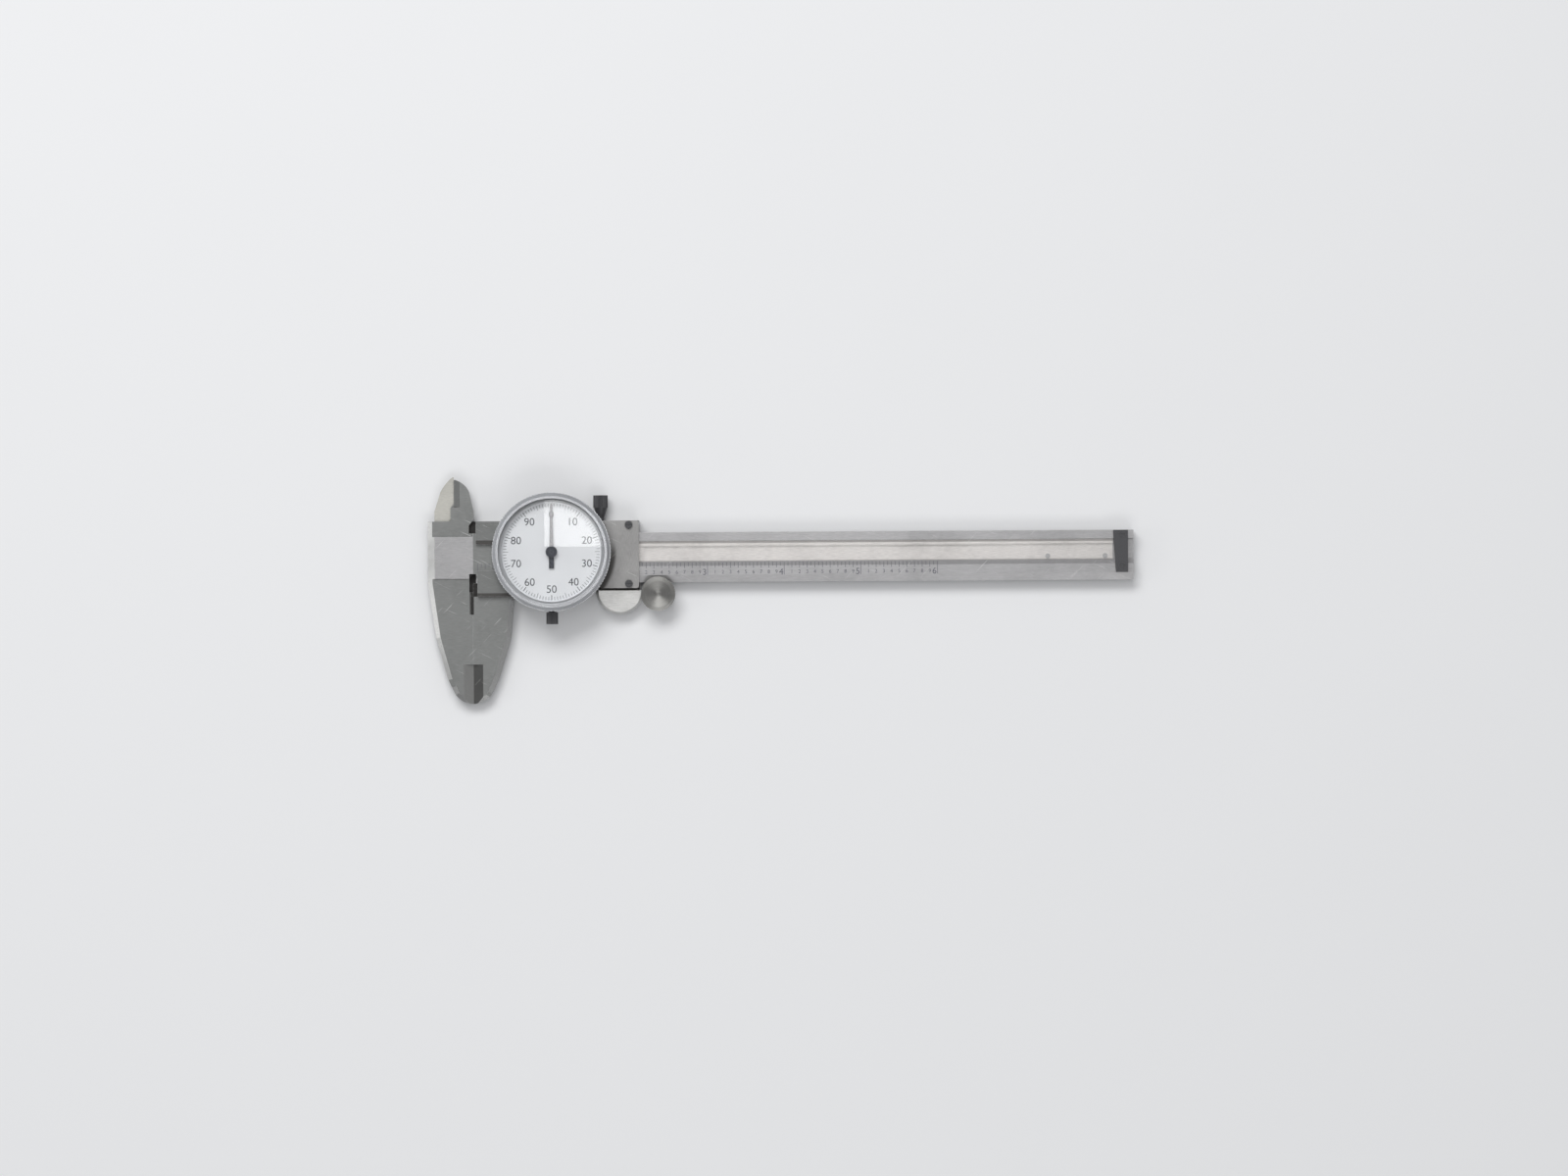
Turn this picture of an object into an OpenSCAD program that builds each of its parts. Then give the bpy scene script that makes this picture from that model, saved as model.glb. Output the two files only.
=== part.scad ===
// Dial caliper with closed jaws, in millimetres.
// X runs along the beam, Y across it and Z out of the dial. The part lies on the slide's back plate at z = 0,
// and its origin is on that plane under the dial's axis.

/* [Beam] */
// Measuring range of the jaws
travel = 152.4; // [100:0.1:200]
// Width of the beam
beam_w = 16.5; // [15.5:0.1:18]
// Thickness of the beam
beam_t = 4; // [3.8:0.1:6]
// Width of the front groove that holds the rack
rack_groove_w = 6.9; // [5.5:0.1:7.2]
// Depth of the front groove
rack_groove_d = 1.6; // [1.5:0.05:1.8]
// Where the front groove starts, right of the jaw plane
rack_groove_x = 12; // [10:0.5:13]
// Depth of the back groove that holds the depth rod
rod_groove_d = 1.6; // [1.4:0.05:1.7]
// Width of the bevel along the lower front edge
bevel_w = 2.4; // [1:0.1:3]
// Depth of that bevel at the edge
bevel_d = 0.5; // [0.2:0.05:1]

/* [Head and jaws] */
// Width of the head, left of the jaw plane
head_w = 14.9; // [13.8:0.1:16]
// Height of the head and of the slide's top rail over the beam's edge
head_rise = 4.05; // [3.6:0.05:6]
// Inset of the raised band from the beam's upper edge
band_top_inset = 1.05; // [0.5:0.05:2]
// Inset of the raised band from the beam's lower edge
band_low_inset = 1.55; // [0.5:0.05:2]
// How far the jaws lie under the beam's two faces
jaw_inset = 0.4; // [0.2:0.05:0.6]
// Depth of the outside jaws below the beam
jaw_depth = 40; // [34:0.5:60]
// Width of the moving jaw where it leaves the slide
jaw_root_w = 13.6; // [12:0.1:15]
// Radius of the round end of the jaws
jaw_tip_r = 7.2; // [6:0.1:7.6]
// Length of the thinned measuring edge
knife_len = 13.1; // [8:0.1:20]
// Width of the thinned measuring edge
knife_w = 3.2; // [2:0.1:4.5]
// How much thinner the jaws are at that edge
knife_d = 1.3; // [0.5:0.1:2]
// Width of the bevel along the jaws' outer edges
jaw_bevel_w = 1.5; // [0.8:0.1:2]
// Depth of that bevel at the edge
jaw_bevel_d = 0.8; // [0.3:0.1:1.2]
// Height of the inside nibs over the beam's edge
nib_h = 18.75; // [15:0.25:25]
// Distance of the nibs' measuring plane from the jaw plane
nib_x = 6.2; // [5:0.1:7]
// Width of a nib above the head
nib_w = 6.5; // [5.5:0.1:7]

/* [Slide] */
// Length of the slide
slide_len = 54; // [52:0.5:70]
// Distance of the slide's left end from the jaw plane
slide_x0 = 1.1; // [0.8:0.1:2]
// Thickness of the slide's front web
web_t = 1.4; // [1.2:0.1:2]
// Thickness of the plate that carries the dial
plate_t = 1.2; // [1:0.1:2]
// Thickness of the back plate
back_t = 1.2; // [1:0.1:2]
// Thickness of the gib
gib_t = 1; // [0.8:0.1:1.4]
// Width of the bottom rail at the slide's right end
low_rail_w = 1.8; // [1.6:0.05:3]
// Width of the bottom rail over the moving jaw
jaw_rail_w = 4.4; // [4:0.1:6]
// Distance of the window's lower edge from the beam's centre line
window_low = 4.1; // [3.5:0.1:5]
// Width of the depth rod
rod_w = 3; // [2.6:0.1:3.6]
// Radius of the screws' shanks
screw_r = 0.7; // [0.5:0.05:0.8]
// Radius of the screws' heads
screw_head_r = 1.25; // [1.1:0.05:1.4]

/* [Dial] */
// Distance of the dial's axis from the jaw plane
dial_x = 26.4; // [25:0.1:28]
// Height of the dial's axis over the beam's centre line
dial_y = 2; // [1.5:0.1:2.5]
// Outer radius of the bezel
bezel_r = 19.7; // [19.4:0.1:24]
// Height of the bezel
bezel_h = 5.1; // [4.9:0.1:7]
// Radius of the face that shows inside the bezel
face_r = 16.5; // [15.8:0.1:16.6]
// Thickness of the dial face
face_t = 0.5; // [0.3:0.05:0.7]
// Thickness of the crystal
crystal_t = 1.1; // [0.8:0.05:1.2]
// Height of the dial case
case_h = 3; // [2.8:0.1:4]
// Thickness of the case's floor
case_floor_t = 0.8; // [0.6:0.1:1]
// Thickness of the case's wall
case_wall_t = 1.8; // [1.6:0.05:2]
// Reach of the pointer's tip
pointer_reach = 15.5; // [13:0.1:15.6]
// Reach of the pointer's tail
pointer_tail = 5.5; // [4:0.1:8]

/* [Gear train] */
// Pitch of the rack's teeth
rack_pitch = 0.635; // [0.6:0.005:0.65]
// Teeth of the pinion on the rack
rack_pinion_teeth = 16; // [15:1:17]
// Teeth of the drive wheel and of the take-up wheel
wheel_teeth = 72; // [64:1:76]
// Teeth of the pinion under the pointer
centre_teeth = 18; // [16:1:20]
// Tooth module of the wheels
train_module = 0.16667; // [0.15:0.00001:0.17]
// Thickness of the wheels
wheel_t = 0.5; // [0.3:0.05:0.6]
// Height of the pillars under the bridge
pillar_h = 2; // [1.9:0.05:2.1]
// Thickness of the bridge
bridge_t = 0.8; // [0.6:0.05:0.8]

/* [Thumb roller and screws] */
// Radius of the thumb roller
roller_r = 5.8; // [5:0.1:6]
// Width of the roller's rim
roller_t = 1.8; // [1:0.1:3]
// Radius of the hub that rolls on the beam's lower edge
hub_r = 3.75; // [3.2:0.05:4.2]
// Distance of the roller's axis from the slide's right end
roller_ahead = 6.3; // [6.2:0.1:9]
// Radius of the roller's axle
axle_r = 1; // [0.8:0.05:1.2]
// Radius of the round thumb rest
rest_r = 7.9; // [6.5:0.1:9]
// Distance of the lock screw from the slide's right end
lock_back = 12.7; // [11:0.1:14]
// Radius of the lock screw's head
lock_head_r = 2.4; // [2:0.1:3]
// Length of the lock screw's head
lock_head_h = 4.1; // [3:0.1:6]
// Radius of the clamp screw's head
clamp_head_r = 1.95; // [1.5:0.05:2.5]
// Length of the clamp screw's head
clamp_head_h = 3.9; // [3:0.1:6]
// Width of the end stop
stop_w = 4.9; // [4:0.1:8]
// Height of the end stop over the beam
stop_h = 1.7; // [1.4:0.1:3]
// Room between the opened slide and the end stop
overtravel = 4.7; // [2:0.1:8]
// Beam beyond the end stop
end_margin = 1.9; // [1:0.1:5]

/* [Hidden] */
$fn = 64;

// Fits
slide_fit = 0.1;
edge_fit = 0.05;
run_fit = 0.03;
snug_fit = 0.02;
jaw_close = 0.02;
thread_fit = 0.04;
screw_short = 0.2;

// Screw slots, as shares of the head's radius and height
slot_share = 0.3;
slot_floor = 0.55;
flat_slot_depth = 0.6;

// How far a cut runs past the face that it opens
cut_over = 1;

// Levels, from the back plate up to the crystal
z_beam = back_t + slide_fit;
z_face = z_beam + beam_t;
z_mid = z_beam + beam_t / 2;
z_jaw_back = z_beam + jaw_inset;
z_jaw_front = z_face - jaw_inset;
z_groove = z_face - rack_groove_d;
z_rod_groove = z_beam + rod_groove_d;
z_web = z_face + slide_fit;
z_plate = z_web + web_t;
z_case = z_plate + plate_t;
z_floor = z_case + case_floor_t;
z_rim = z_case + case_h;
z_bezel = z_rim + slide_fit;
z_bezel_top = z_bezel + bezel_h;
z_bridge = z_floor + pillar_h;
z_bridge_top = z_bridge + bridge_t;

// Beam and slide across
half_w = beam_w / 2;
head_top = half_w + head_rise;
band_top = half_w - band_top_inset;
band_low = -half_w + band_low_inset;
slide_x1 = slide_x0 + slide_len;
bar_stagger = 0.5;
lower_bar_x0 = slide_x0 + bar_stagger;
bar_step = 1.2;
upper_bar_drop = 0.8;
rail_in_top = half_w + gib_t + 2 * edge_fit;
rail_in_low = -half_w - edge_fit;
rail_low = rail_in_low - low_rail_w;
jaw_rail_low = rail_in_low - jaw_rail_w;
rest_back = 6.4;
rest_x = slide_x1 - rest_back;
rest_gap = 2.8;
jaw_rail_x1 = rest_x - rest_r - rest_gap;
window_x1 = 9.5;
rail_mid_top = (rail_in_top + head_top) / 2;

// Jaws
tip_y = -half_w - jaw_depth;
neck_up = 8.9;
waist_up = 21.8;
fixed_neck_w = 8.7;
fixed_waist_w = 12.3;
moving_neck_w = 8.6;
moving_waist_w = 12.5;
tip_sweep = 70;
relief_left = 0.6;
relief_right = 0.3;
relief_drop = 6;
relief_low = jaw_rail_low - relief_drop;
corner_left = 1.2;
corner_right = 1.1;
corner_rise = 3.1;
corner_drop = 3;
corner_floor = 1;
jaw_root_drop = 1.1;

// Nibs
nib_tip_y = half_w + nib_h;
nib_tip_w = 0.5;
nib_shoulder_up = 5;
nib_root_up = 11.4;
fixed_shoulder_w = 1.4;
fixed_tip_drop = 0.9;
moving_shoulder_w = 2;
nib_knife_w = 2;
nib_knife_d = 0.9;
nib_foot_w = 1.05;
nib_foot_h = 5.8;
nib_foot_slant = 1.2;
nib_knife_y = head_top + nib_foot_h - nib_foot_slant;
head_notch_w = 1.3;
head_notch_drop = 1.4;
nib_root_back = 0.8;
nib_root_x = slide_x0 - nib_root_back;
nib_root_rise = 0.6;
fixed_bow = 1.2;
fixed_bow_drop = 1.2;
moving_bow = 1.5;
moving_bow_drop = 2;
nib_arm_len = 2;

// Rack and gear train
pressure = 20;
addendum = 0.8;
dedendum = 1.1;
tooth_slack = 0.05;
rack_module = rack_pitch / PI;
rack_pinion_r = rack_module * rack_pinion_teeth / 2;
rack_line = dial_y + rack_pinion_r;
rack_bar_w = 1.78;
rack_base_t = 0.4;
rack_top_gap = 0.15;
groove_top = rack_line + rack_bar_w;
upper_bar_low = groove_top - upper_bar_drop;
groove_low = groove_top - rack_groove_w;
arbor_reach = train_module * (wheel_teeth + centre_teeth) / 2;
drive_x = dial_x - arbor_reach;
take_up_x = dial_x + arbor_reach;
rack_x0 = rack_groove_x + edge_fit;
rack_margin = 5 * rack_pitch;
rack_teeth = floor((travel + overtravel + 2 * rack_margin) / rack_pitch);
rack_first = drive_x - floor(rack_margin / rack_pitch) * rack_pitch;
z_rack_base = z_groove + rack_base_t;
z_rack_top = z_face - rack_top_gap;
z_rack_pinion = z_rack_base + slide_fit;
arbor_hole_room = 0.25;
arbor_hole_r = rack_pinion_r + rack_module + arbor_hole_room;
end_play = 0.1;
collar_h = 0.3;
z_shoulder = z_floor + end_play;
z_wheel = z_shoulder + collar_h;
z_top_shoulder = z_bridge - end_play;
pivot_r = 0.45;
drive_shaft_r = 0.9;
seat_r = 0.8;
collar_r = 1.3;
post_r = 0.6;
bush_wall = 0.7;
spoke_holes = 4;
spoke_hole_r = 1.5;
spoke_hole_at = 3.3;

// Beam's right end
stop_x = slide_x1 + travel + overtravel;
beam_end = stop_x + stop_w + end_margin;
stop_top = half_w - edge_fit;
stop_inset = 2.5;
stop_low = -half_w + stop_inset;
stop_lean = 0.9;
stop_screw_x = stop_x + stop_w / 2 + stop_lean / 2;
stop_screw_y = [(groove_top + stop_top) / 2, (groove_low + stop_low) / 2];
stop_screw_r = 0.6;
stop_head_r = 1.1;
stop_head_h = 0.7;
stop_thread = 2;
stop_head_sunk = 0.1;
rack_screw_r = 0.5;
rack_head_r = 0.85;
rack_head_h = 0.5;
rack_screw_inset = 1.6;
rack_end_inset = 2.6;
rack_screw_apart = 19;
rack_screw_last = stop_x - rack_end_inset;
rack_screw_x = [rack_x0 + rack_screw_inset, rack_screw_last - rack_screw_apart, rack_screw_last];
rack_screw_room = 0.35;
rack_screw_y = groove_low + rack_head_r + rack_screw_room;
rack_hole_d = z_groove - z_rod_groove - edge_fit * 2;

// Slide's screws
back_screw_inset = 6.4;
back_screw_end = 4;
back_screw_x = [lower_bar_x0 + back_screw_inset, jaw_rail_x1 - back_screw_end];
back_screw_y = [rail_mid_top, (rail_in_low + jaw_rail_low) / 2];
flat_head_h = 0.6;
back_thread = 2.6;
plate_screw_inset = 3.3;
plate_screw_edge = 1.45;
plate_screw_x = slide_x1 - plate_screw_inset;
plate_screw_y = [head_top - plate_screw_edge, rail_low + plate_screw_edge];
plate_head_h = 0.7;
plate_thread = plate_t + web_t - screw_short;
window_post_w = 2.5;
plate_x0 = window_x1 + window_post_w;
plate_corner_r = 1;
gib_start = 5;
gib_end = 1;
gib_x0 = slide_x0 + gib_start;
gib_x1 = slide_x1 - gib_end;
gib_inset = 0.2;
gib_screw_clear = 6;
gib_screw_x = [back_screw_x[0] + gib_screw_clear, back_screw_x[1] - gib_screw_clear];
gib_screw_r = 0.8;
gib_screw_sunk = 0.3;
gib_slot_d = 0.5;
gib_slot_w = 0.35;

// Depth rod
rod_overlap = 2;
rod_x0 = jaw_rail_x1 - rod_overlap;
rod_relief = 2;
rod_lug_len = 7;
rod_play = 0.25;
rod_t = rod_groove_d - rod_play;
rod_screw_x = rod_x0 + rod_lug_len / 2;

// Dial case, bezel and what they hold
case_inset = 0.5;
case_r = bezel_r - case_inset;
case_bore_r = case_r - case_wall_t;
skirt_r = case_bore_r - run_fit;
skirt_t = 0.75;
skirt_lift = 0.2;
z_skirt = z_floor + skirt_lift;
snap_t = 0.4;
snap_d = 0.7;
snap_gap_angle = 30;
snap_groove = 0.35;
snap_fit = 0.05;
snap_down = 1.05;
z_snap = z_rim - snap_down;
bezel_bore_step = 0.2;
bezel_bore_r = case_bore_r + bezel_bore_step;
bezel_seat_t = 1.1;
z_dial = z_bezel + bezel_seat_t;
z_dial_ring = z_dial + face_t;
crystal_sunk = 0.3;
z_crystal = z_bezel_top - crystal_t - crystal_sunk;
crystal_edge = 0.4;
bezel_chamfer = 0.7;
bezel_top_chamfer = 1;
bezel_knurls = 120;
bezel_knurl_d = 0.25;
face_hole_r = 1.2;
case_screw_dx = 10.5;
case_screw_dy = 8.5;
case_head_h = 0.7;
case_thread = case_floor_t + plate_t + web_t - screw_short;
pillar_r = 1.4;
pillar_y = 9.5;
pillar_spigot_r = 0.9;
bridge_arm_w = 5;
bridge_end = 1.5;
bridge_screw_r = 0.55;
bridge_head_r = 1.1;
bridge_head_h = 0.35;
bridge_thread = 1.4;
spring_turns = 4;
spring_in_r = 1.25;
spring_out_r = 4;
spring_t = 0.15;
spring_h = 0.45;
spring_steps = 24;
spring_lift = 0.25;
z_spring = z_wheel + wheel_t + spring_lift;
stud_drop = 0.1;
collet_r = 1;
stud_r = 0.5;

// Pointer
pointer_t = 0.4;
pointer_lift = 0.35;
z_pointer = z_dial_ring + pointer_lift;
pointer_w = 1.4;
pointer_tip_w = 0.7;
tail_w = 1.7;
pointer_hub_r = 1.9;
pointer_hub_h = 0.7;
pointer_hub_bore = post_r + snug_fit;
post_proud = 0.1;
z_post_top = z_pointer + pointer_t + pointer_hub_h + post_proud;
pinion_proud = 0.2;

// Thumb rest and roller
rest_drop = 0.8;
rest_y = rail_low - rest_drop;
rest_tab_inset = 0.8;
rest_tab_r = rest_r - rest_tab_inset;
rest_sunk = 0.1;
z_rest_top = z_face - rest_sunk;
rest_chamfer = 0.8;
rest_screw_dx = 3.6;
rest_screw_drop = 2.6;
rest_screw_y = rest_y - rest_screw_drop;
rest_thread = 2.4;
roller_x = slide_x1 + roller_ahead;
roller_y = -half_w - edge_fit - hub_r;
arm_r = 2.5;
arm_lift = 0.2;
z_arm = back_t + arm_lift;
arm_t = 1.5;
z_hub = z_arm + arm_t + slide_fit;
rim_lift = 0.25;
z_rim_disc = z_face + rim_lift;
roller_knurls = 48;
roller_knurl_d = 0.2;
roller_dish_r = 4.6;
roller_dish_d = 0.35;
axle_head_r = 2;
axle_head_h = 0.8;

// Lock screw and clamp screw
lock_x = slide_x1 - lock_back;
lock_r = 1.25;
lock_shoe_r = 1.3;
shoe_feed = 0.45;
shoe_light = 0.05;
lock_shoe_y0 = half_w + shoe_feed + shoe_light;
lock_shoe_sunk = 1;
lock_shoe_y1 = rail_in_top + lock_shoe_sunk;
lock_neck_h = 1.1;
lock_cone_h = 3.2;
lock_neck_y = head_top + lock_neck_h;
lock_head_y = lock_neck_y + lock_cone_h;
lock_knurls = 24;
head_knurl_d = 0.2;
clamp_r = 0.9;
clamp_shoe_r = 1;
clamp_shoe_t = 0.5;
clamp_shoe_at = case_bore_r + shoe_feed + shoe_light;
clamp_neck_at = case_r + shoe_feed + shoe_light;
clamp_cone_h = 0.3;
clamp_head_at = clamp_neck_at + clamp_cone_h;
clamp_knurls = 20;
z_clamp = z_case + case_h / 2;

// Colours
steel = "#b4b4b0";
satin = "#8f8f8a";
bright = "#cfcfca";
black = "#2e2e30";
brass = "#b8975a";

// Shared shapes

// Moves a piece from the jaw plane and the beam's centre line to the origin under the dial's axis
module place() {
    translate([-dial_x, -dial_y, 0]) children();
}

// Box between two corners
module block(low, high) {
    translate(low) cube(high - low);
}

// Flat shape given thickness between two levels
module slab(z0, z1) {
    translate([0, 0, z0]) linear_extrude(z1 - z0) children();
}

// Upright round bar between two levels
module post(x, y, r, z0, z1) {
    translate([x, y, z0]) cylinder(r = r, h = z1 - z0);
}

// Round bar along Y between two places
module cross_bar(x, z, r, y0, y1) {
    translate([x, y0, z]) rotate([-90, 0, 0]) cylinder(r = r, h = y1 - y0);
}

// Prism along Y of a shape drawn in X and Z
module along_y(y0, y1) {
    translate([0, y1, 0]) rotate([90, 0, 0]) linear_extrude(y1 - y0) children();
}

// Prism along X of a shape drawn in Y and Z
module along_x(x0, x1) {
    translate([x0, 0, 0]) rotate([90, 0, 90]) linear_extrude(x1 - x0) children();
}

// Column of round steps, each given as radius, lower level and upper level
module stack(steps) {
    for (s = steps) post(0, 0, s[0], s[1], s[2]);
}

// Bar with straight knurling along its length
module knurled(r, h, count, depth) {
    linear_extrude(h) polygon([for (i = [0 : 2 * count - 1])
        let (p = i % 2 == 0 ? r : r - depth) [p * cos(180 * i / count), p * sin(180 * i / count)]]);
}

// Screw with a slotted round head above its seat, pointing down
module round_screw(r, head_r, head_h, length) {
    slot_w = head_r * slot_share;
    difference() {
        union() {
            translate([0, 0, -length]) cylinder(r = r, h = length + head_h / 2);
            cylinder(r = head_r, h = head_h);
        }
        translate([-head_r, -slot_w / 2, head_h * slot_floor]) cube([2 * head_r, slot_w, head_h]);
    }
}

// Hole for a screw of that kind: its shank from the seat down
module screw_hole(r, length) {
    translate([0, 0, -length]) cylinder(r = r + snug_fit, h = length + cut_over);
}

// Flat headed screw, entering from the back at z = 0 and pointing up
module flat_screw(r, head_r, length) {
    slot_w = head_r * slot_share;
    difference() {
        union() {
            translate([0, 0, flat_head_h]) cylinder(r1 = head_r, r2 = r, h = head_r - r);
            translate([0, 0, snug_fit]) cylinder(r = head_r, h = flat_head_h - snug_fit);
            translate([0, 0, flat_head_h]) cylinder(r = r, h = length - flat_head_h);
        }
        translate([-head_r, -slot_w / 2, -snug_fit])
            cube([2 * head_r, slot_w, flat_head_h * flat_slot_depth]);
    }
}

// Hole for a flat headed screw
module flat_hole(r, head_r, length) {
    translate([0, 0, flat_head_h]) cylinder(r1 = head_r + snug_fit, r2 = r + snug_fit, h = head_r - r);
    translate([0, 0, -cut_over]) cylinder(r = head_r + snug_fit, h = flat_head_h + cut_over);
    translate([0, 0, flat_head_h]) cylinder(r = r + snug_fit, h = length - flat_head_h + snug_fit);
}

// Points along an arc
function arc(cx, cy, r, a0, a1, steps) =
    [for (i = [0 : steps]) let (a = a0 + (a1 - a0) * i / steps) [cx + r * cos(a), cy + r * sin(a)]];

// Points along a curve that leaves a towards b and ends at c
function curve(a, b, c, steps) =
    [for (i = [0 : steps]) let (t = i / steps) (1 - t) * (1 - t) * a + 2 * t * (1 - t) * b + t * t * c];

// Gear teeth

function involute_angle(base_r, p) = let (a = acos(min(1, base_r / p))) tan(a) * 180 / PI - a;

function tooth_half(m, teeth, p) =
    let (r = m * teeth / 2, base_r = r * cos(pressure))
    90 / teeth - tooth_slack / 2 / r * 180 / PI + involute_angle(base_r, r)
    - involute_angle(base_r, max(base_r, p));

// Outline of a gear with a tooth at the start angle
module gear_outline(m, teeth, start, flank_steps) {
    r = m * teeth / 2;
    root_r = r - dedendum * m;
    tip_r = r + addendum * m;
    radii = [for (i = [0 : flank_steps]) root_r + (tip_r - root_r) * i / flank_steps];
    polygon([for (k = [0 : teeth - 1])
        let (mid = start + 360 * k / teeth)
        each concat(
            [for (p = radii) let (a = mid - tooth_half(m, teeth, p)) [p * cos(a), p * sin(a)]],
            [for (i = [flank_steps : -1 : 0]) let (p = radii[i], a = mid + tooth_half(m, teeth, p))
                [p * cos(a), p * sin(a)]])]);
}

// Outline of the toothed bar: teeth point down to the pinion, with a space over the drive arbor
module rack_outline() {
    tip_y = rack_line - addendum * rack_module;
    root_y = rack_line + dedendum * rack_module;
    half = rack_pitch / 4 - tooth_slack / 2;
    tip_half = half - addendum * rack_module * tan(pressure);
    root_half = half + dedendum * rack_module * tan(pressure);
    polygon(concat(
        [[rack_x0, groove_top - edge_fit], [rack_x0, root_y]],
        [for (k = [0 : rack_teeth - 1])
            let (x = rack_first + (k + 0.5) * rack_pitch)
            each [[x - root_half, root_y], [x - tip_half, tip_y],
                [x + tip_half, tip_y], [x + root_half, root_y]]],
        [[stop_x - edge_fit, root_y], [stop_x - edge_fit, groove_top - edge_fit]]));
}

// Wheel with lightening holes
module train_wheel(x, start) {
    translate([x, dial_y, z_wheel]) difference() {
        linear_extrude(wheel_t) gear_outline(train_module, wheel_teeth, start, 1);
        translate([0, 0, -cut_over]) cylinder(r = seat_r + snug_fit, h = wheel_t + 2 * cut_over);
        for (k = [0 : spoke_holes - 1])
            rotate(45 + 360 * k / spoke_holes)
                translate([spoke_hole_at, 0, -cut_over])
                    cylinder(r = spoke_hole_r, h = wheel_t + 2 * cut_over);
    }
}

// Outlines of the jaws and nibs

// Outer edge and round tip of a jaw, drawn to the right of the jaw plane
function jaw_edge(waist_w, neck_w) = concat(
    [[waist_w, tip_y + waist_up], [neck_w, tip_y + neck_up]],
    arc(0, tip_y + jaw_tip_r, jaw_tip_r, tip_sweep - 90, -90, 10));

// Outer edge of the fixed jaw, from the head's foot down to the tip
function fixed_edge() = concat([[-head_w, -half_w]],
    [for (p = jaw_edge(fixed_waist_w, fixed_neck_w)) [-p[0], p[1]]]);

// Outer edge of the moving jaw, from its root down to the tip
function moving_edge() = concat([[jaw_root_w, jaw_rail_low - jaw_root_drop]],
    [for (p = jaw_edge(moving_waist_w, moving_neck_w)) [max(p[0], jaw_close), p[1]]]);

module fixed_jaw_outline() {
    polygon(concat(
        [[-head_w, half_w]],
        fixed_edge(),
        [[0, relief_low], [-relief_left, relief_low], [-relief_left, -half_w], [0, -half_w], [0, half_w]]));
}

module moving_jaw_outline() {
    polygon(concat(
        [[lower_bar_x0, rail_in_low], [jaw_root_w, rail_in_low]],
        moving_edge(),
        [[jaw_close, relief_low], [relief_right, relief_low], [relief_right, jaw_rail_low],
            [lower_bar_x0, jaw_rail_low]]));
}

// Wedges that bevel the front along a chain of points, with the jaw on the left of each step
module edge_bevel(points, over_start, over_end) {
    last = len(points) - 2;
    rise = jaw_bevel_d / jaw_bevel_w;
    z_edge = z_jaw_front - jaw_bevel_d;
    z_top = z_face + cut_over;
    for (k = [0 : last]) {
        step = points[k + 1] - points[k];
        before = k == 0 ? over_start : cut_over;
        after = k == last ? over_end : cut_over;
        translate(concat(points[k], 0)) rotate(atan2(step[1], step[0])) translate([-before, 0, 0])
            rotate([90, 0, 90]) linear_extrude(before + norm(step) + after)
                polygon([[-cut_over, z_edge - rise * cut_over], [(z_top - z_edge) / rise, z_top],
                    [-cut_over, z_top]]);
    }
}

// Edges of a nib from its foot over its tip to the head, as distances from the measuring plane
function nib_edge(end_y, shoulder_w, bow, bow_drop) = concat(
    [[-nib_foot_w, head_top], [-nib_foot_w, nib_knife_y], [0, head_top + nib_foot_h], [0, end_y]],
    curve([nib_tip_w, end_y], [nib_w - shoulder_w - bow, end_y - bow_drop],
        [nib_w - shoulder_w, nib_tip_y - nib_shoulder_up], 6),
    [[nib_w, nib_tip_y - nib_root_up]]);

module fixed_nib_outline() {
    edge = nib_edge(nib_tip_y - fixed_tip_drop, fixed_shoulder_w, fixed_bow, fixed_bow_drop);
    polygon(concat(
        [[-head_w, band_top], [-head_w, head_top]],
        [for (p = edge) [p[0] - nib_x, p[1]]],
        [[nib_root_x, head_top + nib_root_rise], [-head_notch_w, head_top - head_notch_drop],
            [-head_notch_w, band_top]]));
}

module moving_nib_outline() {
    edge = nib_edge(nib_tip_y, moving_shoulder_w, moving_bow, moving_bow_drop);
    arm_low = half_w + edge_fit + slide_fit;
    polygon(concat(
        [for (p = edge) [-nib_x - jaw_close - p[0], p[1]]],
        [[-nib_x - nib_w, arm_low], [slide_x0 + nib_arm_len, arm_low], [slide_x0 + nib_arm_len, head_top]]));
}

// Wedge that thins an edge: width and depth, with its deep side on the measuring plane
module knife_cut(x, side, width, depth, level, up) {
    over = up * cut_over;
    polygon([[x - side * cut_over, level + over], [x - side * cut_over, level - up * depth],
        [x, level - up * depth], [x + side * width, level], [x + side * width, level + over]]);
}

// Beam and what is fixed to it

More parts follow.
